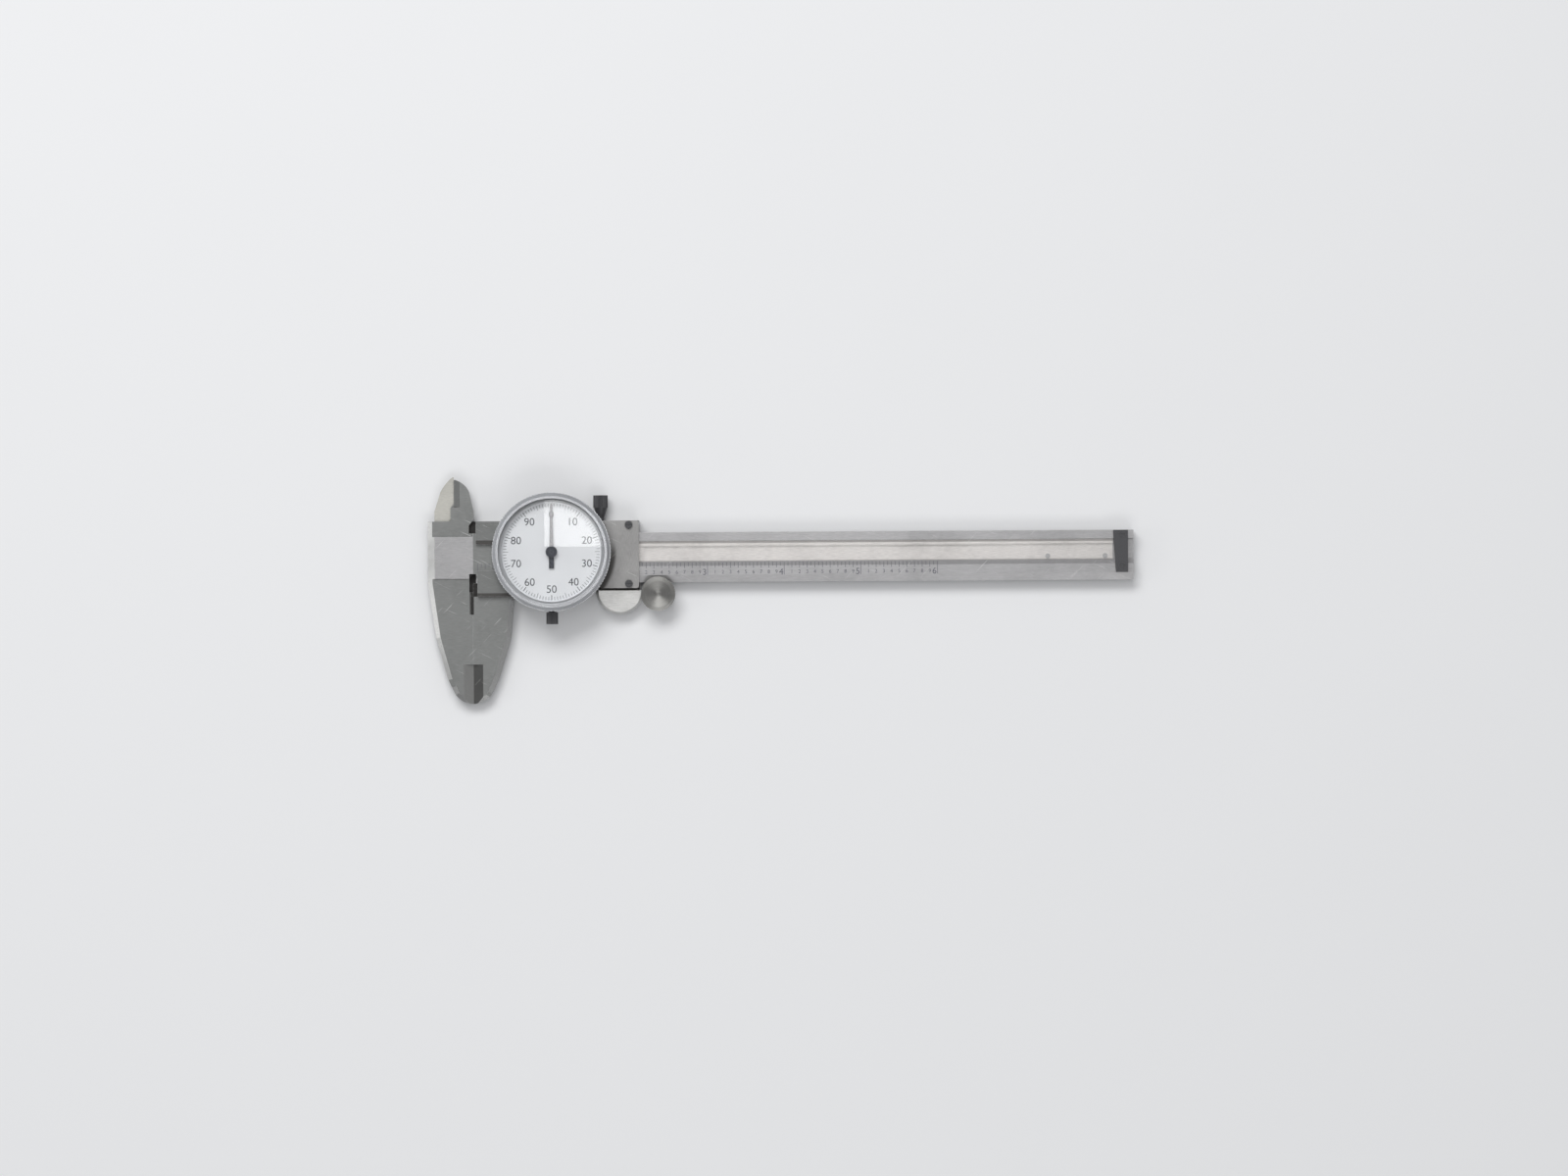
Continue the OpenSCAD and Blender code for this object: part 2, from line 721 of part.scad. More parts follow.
module beam() {
    color(steel) place() difference() {
        union() {
            block([0, -half_w, z_beam], [beam_end, half_w, z_face]);
            block([-head_w, band_low, z_beam], [0, band_top, z_face]);
            slab(z_jaw_back, z_jaw_front) fixed_jaw_outline();
            block([-relief_left, relief_low, z_jaw_back], [0, -half_w, z_mid]);
            slab(z_mid + edge_fit, z_jaw_front) fixed_nib_outline();
        }
        block([rack_groove_x, groove_low, z_groove], [beam_end + cut_over, groove_top, z_face + cut_over]);
        block([rod_x0 - rod_relief, -rod_w / 2 - slide_fit, z_beam - cut_over],
            [beam_end + cut_over, rod_w / 2 + slide_fit, z_rod_groove]);
        along_x(0, beam_end + cut_over)
            polygon([[-half_w - cut_over, z_face - bevel_d * (1 + cut_over / bevel_w)],
                [-half_w + bevel_w, z_face], [-half_w + bevel_w, z_face + cut_over],
                [-half_w - cut_over, z_face + cut_over]]);
        block([-corner_left, -half_w - corner_drop, z_beam + corner_floor],
            [corner_right, -half_w + corner_rise, z_face + cut_over]);
        edge_bevel(concat([[-head_w, head_top]], fixed_edge()), cut_over, cut_over);
        along_y(tip_y - cut_over, tip_y + knife_len) knife_cut(0, -1, knife_w, knife_d, z_jaw_front, 1);
        along_y(nib_knife_y, nib_tip_y + cut_over)
            knife_cut(-nib_x, 1, nib_knife_w, nib_knife_d, z_jaw_front, 1);
        for (x = rack_screw_x)
            translate([x, rack_screw_y, z_groove]) screw_hole(rack_screw_r, rack_hole_d);
        for (y = stop_screw_y)
            translate([stop_screw_x, y, z_face]) screw_hole(stop_screw_r, stop_thread + snug_fit);
    }
}

module rack() {
    color(bright) place() difference() {
        union() {
            slab(z_groove, z_rack_top) rack_outline();
            block([rack_x0, groove_low + edge_fit, z_groove],
                [stop_x - edge_fit, groove_top - edge_fit, z_rack_base]);
        }
        for (x = rack_screw_x)
            translate([x, rack_screw_y, z_rack_base]) screw_hole(rack_screw_r, rack_base_t + cut_over);
    }
}

module rack_screws() {
    color(steel) place() for (x = rack_screw_x)
        translate([x, rack_screw_y, z_rack_base])
            round_screw(rack_screw_r, rack_head_r, rack_head_h, rack_base_t + rack_hole_d - edge_fit);
}

module end_stop() {
    z_top = z_face + stop_h;
    color(black) place() difference() {
        union() {
            slab(z_face, z_top) polygon([[stop_x, stop_top], [stop_x + stop_w, stop_top],
                [stop_x + stop_w, stop_low], [stop_x + stop_lean, stop_low]]);
            block([stop_x + stop_lean, groove_low + edge_fit, z_groove],
                [stop_x + stop_w, groove_top - edge_fit, z_top]);
        }
        for (y = stop_screw_y) {
            translate([stop_screw_x, y, z_top - stop_head_h])
                cylinder(r = stop_head_r + edge_fit, h = stop_h);
            translate([stop_screw_x, y, z_top]) screw_hole(stop_screw_r, stop_h + cut_over);
        }
    }
}

module end_stop_screws() {
    color(steel) place() for (y = stop_screw_y)
        translate([stop_screw_x, y, z_face + stop_h - stop_head_h])
            round_screw(stop_screw_r, stop_head_r, stop_head_h - stop_head_sunk,
                stop_h - stop_head_h + stop_thread);
}

// Slide and the plates, gib and depth rod that close it round the beam

module slide() {
    color(satin) place() difference() {
        union() {
            block([slide_x0, upper_bar_low, z_web], [plate_x0, head_top - bar_step, z_plate]);
            block([window_x1, rail_low, z_web], [plate_x0, groove_top, z_plate]);
            block([plate_x0, rail_low, z_web], [slide_x1, head_top, z_plate]);
            block([lower_bar_x0, jaw_rail_low, z_web], [jaw_rail_x1, -window_low, z_plate]);
            block([slide_x0, rail_in_top, back_t], [slide_x1, head_top, z_web]);
            block([lower_bar_x0, jaw_rail_low, back_t], [jaw_rail_x1, rail_in_low, z_web]);
            block([lower_bar_x0, rail_low, back_t], [slide_x1, rail_in_low, z_web]);
            slab(z_jaw_back, z_jaw_front) moving_jaw_outline();
            block([jaw_close, relief_low, z_jaw_back], [lower_bar_x0, rail_in_low, z_mid]);
            slab(z_jaw_back, z_mid - edge_fit) moving_nib_outline();
        }
        edge_bevel([for (k = [len(moving_edge()) - 1 : -1 : 0]) moving_edge()[k]], cut_over, 0);
        along_y(tip_y - cut_over, tip_y + knife_len)
            knife_cut(jaw_close, 1, knife_w, knife_d, z_jaw_front, 1);
        along_y(nib_knife_y, nib_tip_y + cut_over)
            knife_cut(-nib_x - jaw_close, -1, nib_knife_w, nib_knife_d, z_jaw_back, -1);
        post(drive_x, dial_y, arbor_hole_r, z_web - cut_over, z_plate + cut_over);
        for (x = back_screw_x, y = back_screw_y)
            translate([x, y, 0]) flat_hole(screw_r, screw_head_r, back_t + back_thread);
        for (y = plate_screw_y)
            translate([plate_screw_x, y, z_case]) screw_hole(screw_r, plate_thread + snug_fit);
        at_case_screws() screw_hole(screw_r, case_thread + snug_fit);
        for (x = gib_screw_x)
            cross_bar(x, z_mid, gib_screw_r + thread_fit, rail_in_top - cut_over, head_top + cut_over);
        cross_bar(lock_x, z_mid, lock_r + thread_fit, rail_in_top - cut_over, head_top + cut_over);
        cross_bar(lock_x, z_mid, lock_shoe_r + run_fit, rail_in_top - cut_over, lock_shoe_y1 + edge_fit);
    }
}

module back_plate() {
    color(satin) place() difference() {
        union() {
            block([lower_bar_x0, rail_low, 0], [slide_x1, head_top, back_t]);
            block([lower_bar_x0, jaw_rail_low, 0], [jaw_rail_x1, head_top, back_t]);
            intersection() {
                post(rest_x, rest_y, rest_tab_r, 0, back_t);
                block([rest_x - rest_r, rest_y - rest_r, 0], [slide_x1, rail_low + cut_over, back_t]);
            }
        }
        for (x = back_screw_x, y = back_screw_y)
            translate([x, y, 0]) flat_hole(screw_r, screw_head_r, back_t + cut_over);
        translate([rod_screw_x, 0, 0]) flat_hole(screw_r, screw_head_r, back_t + cut_over);
        at_rest_screws() flat_hole(screw_r, screw_head_r, back_t + cut_over);
    }
}

module back_plate_screws() {
    color(steel) place() for (x = back_screw_x, y = back_screw_y)
        translate([x, y, 0]) flat_screw(screw_r, screw_head_r, back_t + back_thread);
}

module gib() {
    color(brass) place() difference() {
        block([gib_x0, half_w + edge_fit, z_beam + gib_inset],
            [gib_x1, half_w + edge_fit + gib_t, z_face - gib_inset]);
        cross_bar(lock_x, z_mid, lock_shoe_r + run_fit, half_w - cut_over, rail_in_top + cut_over);
    }
}

module gib_screws() {
    y1 = head_top - gib_screw_sunk;
    color(steel) place() for (x = gib_screw_x) difference() {
        cross_bar(x, z_mid, gib_screw_r, half_w + edge_fit + gib_t, y1);
        block([x - gib_screw_r, y1 - gib_slot_d, z_mid - gib_slot_w / 2],
            [x + gib_screw_r, y1 + cut_over, z_mid + gib_slot_w / 2]);
    }
}

module depth_rod() {
    z_rod = z_rod_groove - slide_fit - rod_t;
    color(steel) place() difference() {
        union() {
            block([rod_x0, -rod_w / 2, z_rod], [beam_end, rod_w / 2, z_rod + rod_t]);
            block([rod_x0, -rod_w / 2, back_t], [rod_x0 + rod_lug_len, rod_w / 2, z_rod + rod_t]);
        }
        translate([rod_screw_x, 0, 0]) flat_hole(screw_r, screw_head_r, back_t + rod_t + cut_over);
    }
}

module depth_rod_screw() {
    color(steel) place() translate([rod_screw_x, 0, 0]) flat_screw(screw_r, screw_head_r, back_t + rod_t);
}

module dial_plate() {
    color(satin) place() difference() {
        union() {
            block([plate_x0, rail_low, z_plate], [slide_x1 - plate_corner_r, head_top, z_case]);
            block([plate_x0, rail_low + plate_corner_r, z_plate],
                [slide_x1, head_top - plate_corner_r, z_case]);
            for (y = [rail_low + plate_corner_r, head_top - plate_corner_r])
                post(slide_x1 - plate_corner_r, y, plate_corner_r, z_plate, z_case);
        }
        post(drive_x, dial_y, arbor_hole_r, z_plate - cut_over, z_case + cut_over);
        for (y = plate_screw_y) translate([plate_screw_x, y, z_case]) screw_hole(screw_r, plate_t + cut_over);
        at_case_screws() screw_hole(screw_r, case_floor_t + plate_t + cut_over);
    }
}

module plate_screws() {
    color(black) place() for (y = plate_screw_y)
        translate([plate_screw_x, y, z_case]) round_screw(screw_r, screw_head_r, plate_head_h, plate_thread);
}

// Places of the screws that hold the dial case to the slide
module at_case_screws() {
    for (dx = [-case_screw_dx, case_screw_dx], dy = [-case_screw_dy, case_screw_dy])
        translate([dial_x + dx, dial_y + dy, z_floor]) children();
}

// Places of the screws that hold the thumb rest to the back plate
module at_rest_screws() {
    for (dx = [-rest_screw_dx, rest_screw_dx]) translate([rest_x + dx, rest_screw_y, 0]) children();
}

// Thumb rest, with the arm that carries the roller
module thumb_rest() {
    color(bright) place() difference() {
        union() {
            intersection() {
                union() {
                    post(rest_x, rest_y, rest_r, back_t, z_rest_top - rest_chamfer);
                    translate([rest_x, rest_y, z_rest_top - rest_chamfer])
                        cylinder(r1 = rest_r, r2 = rest_r - rest_chamfer, h = rest_chamfer);
                }
                block([rest_x - rest_r - cut_over, rest_y - rest_r - cut_over, back_t],
                    [rest_x + rest_r + cut_over, rest_y, z_rest_top]);
            }
            block([rest_x, roller_y - arm_r, z_arm],
                [roller_x, min(roller_y + arm_r, rest_y), z_arm + arm_t]);
            post(roller_x, roller_y, arm_r, z_arm, z_arm + arm_t);
        }
        post(roller_x, roller_y, axle_r + run_fit, z_arm - cut_over, z_arm + arm_t + cut_over);
        at_rest_screws() flat_hole(screw_r, screw_head_r, back_t + rest_thread);
    }
}

module thumb_rest_screws() {
    color(steel) place() at_rest_screws() flat_screw(screw_r, screw_head_r, back_t + rest_thread);
}

// Dial case, movement and its bridge

module dial_case() {
    color(steel) place() translate([dial_x, dial_y, 0]) difference() {
        post(0, 0, case_r, z_case, z_rim);
        post(0, 0, case_bore_r, z_floor, z_rim + cut_over);
        rotate_extrude() translate([case_bore_r - 0.1, z_snap - snap_fit])
            square([snap_groove + 0.1, snap_t + 2 * snap_fit]);
        at_bushes(false) cylinder(r = $bush_r + snug_fit, h = 4 * case_floor_t, center = true);
        translate([-dial_x, -dial_y, 0]) at_case_screws() screw_hole(screw_r, case_floor_t + cut_over);
        for (y = [-pillar_y, pillar_y])
            post(0, y, pillar_spigot_r + snug_fit, z_case - cut_over, z_floor + cut_over);
        rotate(180) cross_bar(0, z_clamp, clamp_r + thread_fit, case_bore_r - cut_over, case_r + cut_over);
        rotate(180) cross_bar(0, z_clamp, clamp_shoe_r + run_fit, case_bore_r - cut_over,
            clamp_shoe_at + clamp_shoe_t + edge_fit);
    }
}

module case_screws() {
    color(steel) place() at_case_screws() round_screw(screw_r, screw_head_r, case_head_h, case_thread);
}

module bezel_snap_ring() {
    sweep = 360 - snap_gap_angle;
    ring_out = case_bore_r + snap_groove - snap_fit;
    color(steel) rotate(snap_gap_angle / 2 - 90) rotate_extrude(angle = sweep)
        translate([ring_out - snap_d, z_snap]) square([snap_d, snap_t]);
}

// Places of the bushes, in the case's floor or in the bridge, with their sizes
module at_bushes(top) {
    places = [-arbor_reach, 0, arbor_reach];
    bores = top ? [pivot_r, post_r, pivot_r] : [drive_shaft_r, pivot_r, pivot_r];
    for (k = [0 : 2]) {
        $bush_bore = bores[k] + run_fit;
        $bush_r = bores[k] + run_fit + bush_wall;
        translate([places[k], 0, top ? z_bridge : z_case]) children();
    }
}

module arbor_bushes() {
    color(brass) for (top = [false, true]) {
        bush_h = top ? bridge_t : case_floor_t;
        at_bushes(top) difference() {
            cylinder(r = $bush_r, h = bush_h);
            translate([0, 0, -cut_over]) cylinder(r = $bush_bore, h = bush_h + 2 * cut_over);
        }
    }
}

module bridge() {
    reach_x = arbor_reach + spring_out_r + stud_r + bridge_end;
    reach_y = pillar_y + bridge_end;
    color(brass) difference() {
        union() {
            block([-arbor_reach - bridge_end, -bridge_arm_w / 2, z_bridge],
                [reach_x, bridge_arm_w / 2, z_bridge_top]);
            block([-bridge_arm_w / 2, -reach_y, z_bridge], [bridge_arm_w / 2, reach_y, z_bridge_top]);
        }
        at_bushes(true) cylinder(r = $bush_r + snug_fit, h = 4 * bridge_t, center = true);
        for (y = [-pillar_y, pillar_y])
            translate([0, y, z_bridge_top]) screw_hole(bridge_screw_r, bridge_t + cut_over);
    }
}

module bridge_pillars() {
    color(brass) for (y = [-pillar_y, pillar_y]) difference() {
        union() {
            post(0, y, pillar_r, z_floor, z_bridge);
            post(0, y, pillar_spigot_r, z_case, z_floor);
        }
        translate([0, y, z_bridge_top]) screw_hole(bridge_screw_r, bridge_t + bridge_thread + snug_fit);
    }
}

module bridge_screws() {
    color(steel) for (y = [-pillar_y, pillar_y])
        translate([0, y, z_bridge_top])
            round_screw(bridge_screw_r, bridge_head_r, bridge_head_h, bridge_t + bridge_thread);
}

// Flat spiral round the take-up arbor, held by its outer end
module hairspring() {
    count = spring_turns * spring_steps;
    function spiral(i, side) = let (a = 360 * i / spring_steps,
        p = spring_in_r + (spring_out_r - spring_in_r) * i / count + side * spring_t / 2)
        [p * cos(a), p * sin(a)];
    color(steel) translate([arbor_reach, 0, z_spring]) linear_extrude(spring_h)
        polygon(concat([for (i = [0 : count]) spiral(i, -1)], [for (i = [count : -1 : 0]) spiral(i, 1)]));
}

module hairspring_stud() {
    x = arbor_reach + spring_out_r;
    color(brass) difference() {
        post(x, 0, stud_r, z_spring - stud_drop, z_bridge);
        block([x - stud_r, -stud_r, z_spring - cut_over],
            [x + spring_t / 2 + snug_fit, stud_r, z_spring + spring_h]);
    }
}

// Bezel and what turns with it

module bezel() {
    body_r = bezel_r - bezel_knurl_d - edge_fit;
    z_grip = z_bezel + bezel_chamfer;
    z_grip_top = z_bezel_top - bezel_top_chamfer;
    skirt_in = skirt_r - skirt_t;
    snap_in = case_bore_r + snap_groove - snap_fit - snap_d - snap_fit;
    color(bright) difference() {
        union() {
            rotate_extrude() polygon([[skirt_in, z_skirt], [skirt_r, z_skirt], [skirt_r, z_bezel],
                [body_r - bezel_chamfer, z_bezel], [body_r, z_grip], [body_r, z_grip_top],
                [body_r - bezel_top_chamfer, z_bezel_top], [skirt_in, z_bezel_top]]);
            translate([0, 0, z_grip]) knurled(bezel_r, z_grip_top - z_grip, bezel_knurls, bezel_knurl_d);
        }
        post(0, 0, skirt_in, z_skirt - cut_over, z_bezel_top + cut_over);
        post(0, 0, bezel_bore_r, z_dial, z_bezel_top + cut_over);
        rotate_extrude() translate([snap_in, z_snap - snap_fit]) square([snap_d, snap_t + 2 * snap_fit]);
    }
}

module dial_face() {
    color("white") difference() {
        post(0, 0, bezel_bore_r - edge_fit, z_dial, z_dial_ring);
        post(0, 0, face_hole_r, z_dial - cut_over, z_dial_ring + cut_over);
    }
}

module dial_ring() {
    color(satin) difference() {
        post(0, 0, bezel_bore_r - edge_fit, z_dial_ring, z_crystal);
        post(0, 0, face_r, z_dial_ring - cut_over, z_crystal + cut_over);
    }
}

module crystal() {
    color("white", 0.3) rotate_extrude() polygon([[0, z_crystal], [bezel_bore_r - edge_fit, z_crystal],
        [bezel_bore_r - edge_fit, z_crystal + crystal_t - crystal_edge],
        [bezel_bore_r - edge_fit - crystal_edge, z_crystal + crystal_t],
        [0, z_crystal + crystal_t]]);
}

// Pointer and the train that turns it

module pointer() {
    color(black) difference() {
        union() {
            slab(z_pointer, z_pointer + pointer_t) polygon([[-pointer_w / 2, 0], [pointer_w / 2, 0],
                [pointer_tip_w / 2, pointer_reach], [-pointer_tip_w / 2, pointer_reach]]);
            block([-tail_w / 2, -pointer_tail, z_pointer], [tail_w / 2, 0, z_pointer + pointer_t]);
            post(0, 0, pointer_hub_r, z_pointer, z_pointer + pointer_t);
        }
        post(0, 0, pointer_hub_bore, z_pointer - cut_over, z_pointer + pointer_t + cut_over);
    }
}

module pointer_hub() {
    color(black) difference() {
        post(0, 0, pointer_hub_r, z_pointer + pointer_t, z_pointer + pointer_t + pointer_hub_h);
        post(0, 0, pointer_hub_bore, z_pointer, z_pointer + pointer_t + pointer_hub_h + cut_over);
    }
}

module centre_arbor() {
    z_pinion = z_shoulder + end_play;
    z_pinion_top = z_wheel + wheel_t + pinion_proud;
    color(steel) {
        stack([[pivot_r, z_case + end_play, z_shoulder], [seat_r, z_shoulder, z_pinion],
            [seat_r, z_pinion_top, z_top_shoulder], [post_r, z_top_shoulder, z_post_top]]);
        slab(z_pinion, z_pinion_top) gear_outline(train_module, centre_teeth, 180 / centre_teeth, 3);
    }
}

module drive_arbor() {
    color(steel) translate([-arbor_reach, 0, 0]) {
        stack([[drive_shaft_r, z_rack_top, z_shoulder], [collar_r, z_shoulder, z_wheel],
            [seat_r, z_wheel, z_top_shoulder], [pivot_r, z_top_shoulder, z_bridge_top - end_play]]);
        slab(z_rack_pinion, z_rack_top) gear_outline(rack_module, rack_pinion_teeth, 90, 3);
    }
}

module drive_wheel() {
    color(brass) place() train_wheel(drive_x, centre_teeth % 2 * 180 / wheel_teeth);
}

module take_up_arbor() {
    color(steel) translate([arbor_reach, 0, 0])
        stack([[pivot_r, z_case + end_play, z_shoulder], [collar_r, z_shoulder, z_wheel],
            [seat_r, z_wheel, z_spring], [collet_r, z_spring, z_spring + spring_h],
            [seat_r, z_spring + spring_h, z_top_shoulder],
            [pivot_r, z_top_shoulder, z_bridge_top - end_play]]);
}

module take_up_wheel() {
    color(brass) place() train_wheel(take_up_x, 180);
}

// Thumb roller

module roller_wheel() {
    z_top = z_rim_disc + roller_t;
    color(bright) place() translate([roller_x, roller_y, 0]) difference() {
        union() {
            post(0, 0, hub_r, z_hub, z_rim_disc);
            translate([0, 0, z_rim_disc]) knurled(roller_r, roller_t, roller_knurls, roller_knurl_d);
        }
        post(0, 0, axle_r + snug_fit, z_hub - cut_over, z_top - roller_dish_d * 2);
        translate([0, 0, z_top - roller_dish_d])
            cylinder(r1 = axle_r, r2 = roller_dish_r, h = roller_dish_d + snug_fit);
    }
}

module roller_axle() {
    color(steel) place() translate([roller_x, roller_y, 0])
        stack([[axle_head_r, z_arm - slide_fit - axle_head_h, z_arm - slide_fit],
            [axle_r, z_arm - slide_fit, z_rim_disc + roller_t - roller_dish_d * 2]]);
}

// Lock screw and bezel clamp screw, each with the shoe that it presses

module lock_shoe() {
    color(brass) place() cross_bar(lock_x, z_mid, lock_shoe_r, lock_shoe_y0, lock_shoe_y1);
}

module lock_screw() {
    color(black) place() translate([lock_x, 0, z_mid]) rotate([-90, 0, 0]) {
        post(0, 0, lock_r, lock_shoe_y1, lock_neck_y);
        translate([0, 0, lock_neck_y])
            cylinder(r1 = lock_r, r2 = lock_head_r - head_knurl_d, h = lock_cone_h);
        translate([0, 0, lock_head_y]) knurled(lock_head_r, lock_head_h, lock_knurls, head_knurl_d);
    }
}

module clamp_shoe() {
    color(brass) rotate(180)
        cross_bar(0, z_clamp, clamp_shoe_r, clamp_shoe_at, clamp_shoe_at + clamp_shoe_t);
}

module clamp_screw() {
    color(black) translate([0, 0, z_clamp]) rotate([90, 0, 0]) {
        post(0, 0, clamp_r, clamp_shoe_at + clamp_shoe_t, clamp_neck_at);
        translate([0, 0, clamp_neck_at])
            cylinder(r1 = clamp_r, r2 = clamp_head_r - head_knurl_d, h = clamp_cone_h);
        translate([0, 0, clamp_head_at]) knurled(clamp_head_r, clamp_head_h, clamp_knurls, head_knurl_d);
    }
}

beam();
rack();
rack_screws();
end_stop();
end_stop_screws();
slide();
back_plate();
back_plate_screws();
gib();
gib_screws();
depth_rod();
depth_rod_screw();
dial_plate();
plate_screws();
thumb_rest();
thumb_rest_screws();
dial_case();
case_screws();
bezel_snap_ring();
bridge();
bridge_pillars();
bridge_screws();
arbor_bushes();
hairspring();
hairspring_stud();
bezel();
dial_face();
dial_ring();
crystal();
pointer();
pointer_hub();
centre_arbor();
drive_arbor();
drive_wheel();
take_up_arbor();
take_up_wheel();
roller_wheel();
roller_axle();
lock_shoe();
lock_screw();
clamp_shoe();
clamp_screw();
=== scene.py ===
"""Dresses a dial caliper: finishes, scale and dial printing, studio and camera."""

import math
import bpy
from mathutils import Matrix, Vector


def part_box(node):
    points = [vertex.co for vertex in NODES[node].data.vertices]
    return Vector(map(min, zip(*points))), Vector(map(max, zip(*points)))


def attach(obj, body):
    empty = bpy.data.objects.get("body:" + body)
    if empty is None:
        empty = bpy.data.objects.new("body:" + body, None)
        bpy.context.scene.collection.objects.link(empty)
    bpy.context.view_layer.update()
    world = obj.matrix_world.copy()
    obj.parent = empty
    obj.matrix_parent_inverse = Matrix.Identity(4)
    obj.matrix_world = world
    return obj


bl_info = {
    "name": "Dial Caliper Finish",
    "version": (1, 0, 0),
    "blender": (4, 5, 0),
    "location": "View3D > Sidebar > Caliper",
    "description": "Gives a dial caliper its finishes, printing, studio and camera",
    "category": "Object",
}

import bmesh
import bpy
from bpy.props import FloatProperty, FloatVectorProperty, IntProperty, PointerProperty
from mathutils import Matrix, Vector

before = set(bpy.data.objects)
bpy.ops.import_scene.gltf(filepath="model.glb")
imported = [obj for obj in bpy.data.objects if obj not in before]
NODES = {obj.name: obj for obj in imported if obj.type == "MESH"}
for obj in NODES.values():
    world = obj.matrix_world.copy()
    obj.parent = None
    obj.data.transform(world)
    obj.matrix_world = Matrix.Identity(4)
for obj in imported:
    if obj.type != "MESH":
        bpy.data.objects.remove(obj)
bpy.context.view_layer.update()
INCH = 0.0254
MM = 0.001

# Places that the printing and the finishes follow, read from the frame in metres
BEAM_LOW, BEAM_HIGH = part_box("beam")
RACK_LOW, RACK_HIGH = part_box("rack")
ROD_LOW, ROD_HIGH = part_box("depth_rod")
PLATE_LOW, PLATE_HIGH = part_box("back_plate")
FACE_LOW, FACE_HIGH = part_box("dial_face")
RING_LOW, RING_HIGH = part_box("dial_ring")
ROLLER_LOW, ROLLER_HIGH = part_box("roller_wheel")
POINTER_LOW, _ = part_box("pointer")
BEZEL_LOW, BEZEL_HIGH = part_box("bezel")
BEAM_LINE_Y = (ROD_LOW.y + ROD_HIGH.y) / 2
BEAM_MID_Z = (BEAM_LOW.z + BEAM_HIGH.z) / 2
BEAM_HALF_T = (BEAM_HIGH.z - BEAM_LOW.z) / 2
READING_X = PLATE_LOW.x
JAW_PLANE_X = READING_X - 1.6 * MM
HEAD_TOP_Y = PLATE_HIGH.y
UPPER_BAR_Y = RACK_HIGH.y - 0.75 * MM
LOWER_BAR_Y = BEAM_LINE_Y - 12.7 * MM
NOTCH_Y = BEAM_LINE_Y - 8.25 * MM
SLOT_FOOT_Y = LOWER_BAR_Y - 6.1 * MM
ROLLER_AXIS = (ROLLER_LOW + ROLLER_HIGH) / 2
DIAL_AXIS = (FACE_LOW + FACE_HIGH) / 2
BEZEL_R = (BEZEL_HIGH.x - BEZEL_LOW.x) / 2
DIVISIONS_R = (RING_HIGH.x - RING_LOW.x) / 2 - 1.55 * MM

# Grinding lines run along the axis whose number is small, and turned rings round their centre
ALONG_BEAM = (400.0, 9000.0, 9000.0)
ALONG_ARBOR = (9000.0, 9000.0, 700.0)
RING_DENSITY = 5000.0
QUARTER_TURN = 0.25

# Painted shade in corners, and dirt and wear, that the metals share
PAINTED_SHADE_REACH = 1.2 * MM
PAINTED_SHADE_COVER = 0.8
WORN_STEEL = (0.78, 0.78, 0.77)
WORN_BRASS = (0.8, 0.62, 0.32)
OXIDE_DUST = (0.075, 0.075, 0.08)
OXIDE_EDGE = (0.23, 0.23, 0.23)
ENAMEL_DUST = (0.5, 0.5, 0.48)
CRYSTAL_TINT = (0.985, 0.99, 0.99)

# Printing on the beam: its places, its lines for each length, and how its numbers differ in size
SCALE_TOP_Y = RACK_LOW.y - 0.25 * MM
SCALE_ROW_Y = SCALE_TOP_Y - 3.2 * MM
LINES_PER_INCH = 20
LINES_PER_TENTH = 2
INCH_NUMBER_SHIFT = 1.0 * MM
INCH_NUMBER_SIZE = 1.35
TENTH_NUMBER_SIZE = 0.8

# Printing on the dial: which divisions are long, and which are bold and have a number
LONG_EVERY = 5
NUMBER_EVERY = 10
BOLD = 1.7

# Stage: lengths in metres and the tint of the room's light
FLOOR_REACH = 6.0
TOP_LAMP_SPOT = (0.0725, 0.62, 0.0)
ROOM_TINT = (0.97, 0.98, 1.0)


def colour_prop(label, note, value):
    """Colour that a user may change, as linear red, green and blue."""
    return FloatVectorProperty(
        name=label, description=note, subtype="COLOR", size=3, min=0.0, max=1.0, default=value
    )


def length_prop(label, note, value):
    """Length in metres that a user may change."""
    return FloatProperty(name=label, description=note, unit="LENGTH", precision=5, default=value)


def power_prop(label, note, value):
    """Power of a lamp in watts that a user may change."""
    return FloatProperty(name=label, description=note, subtype="POWER", default=value)


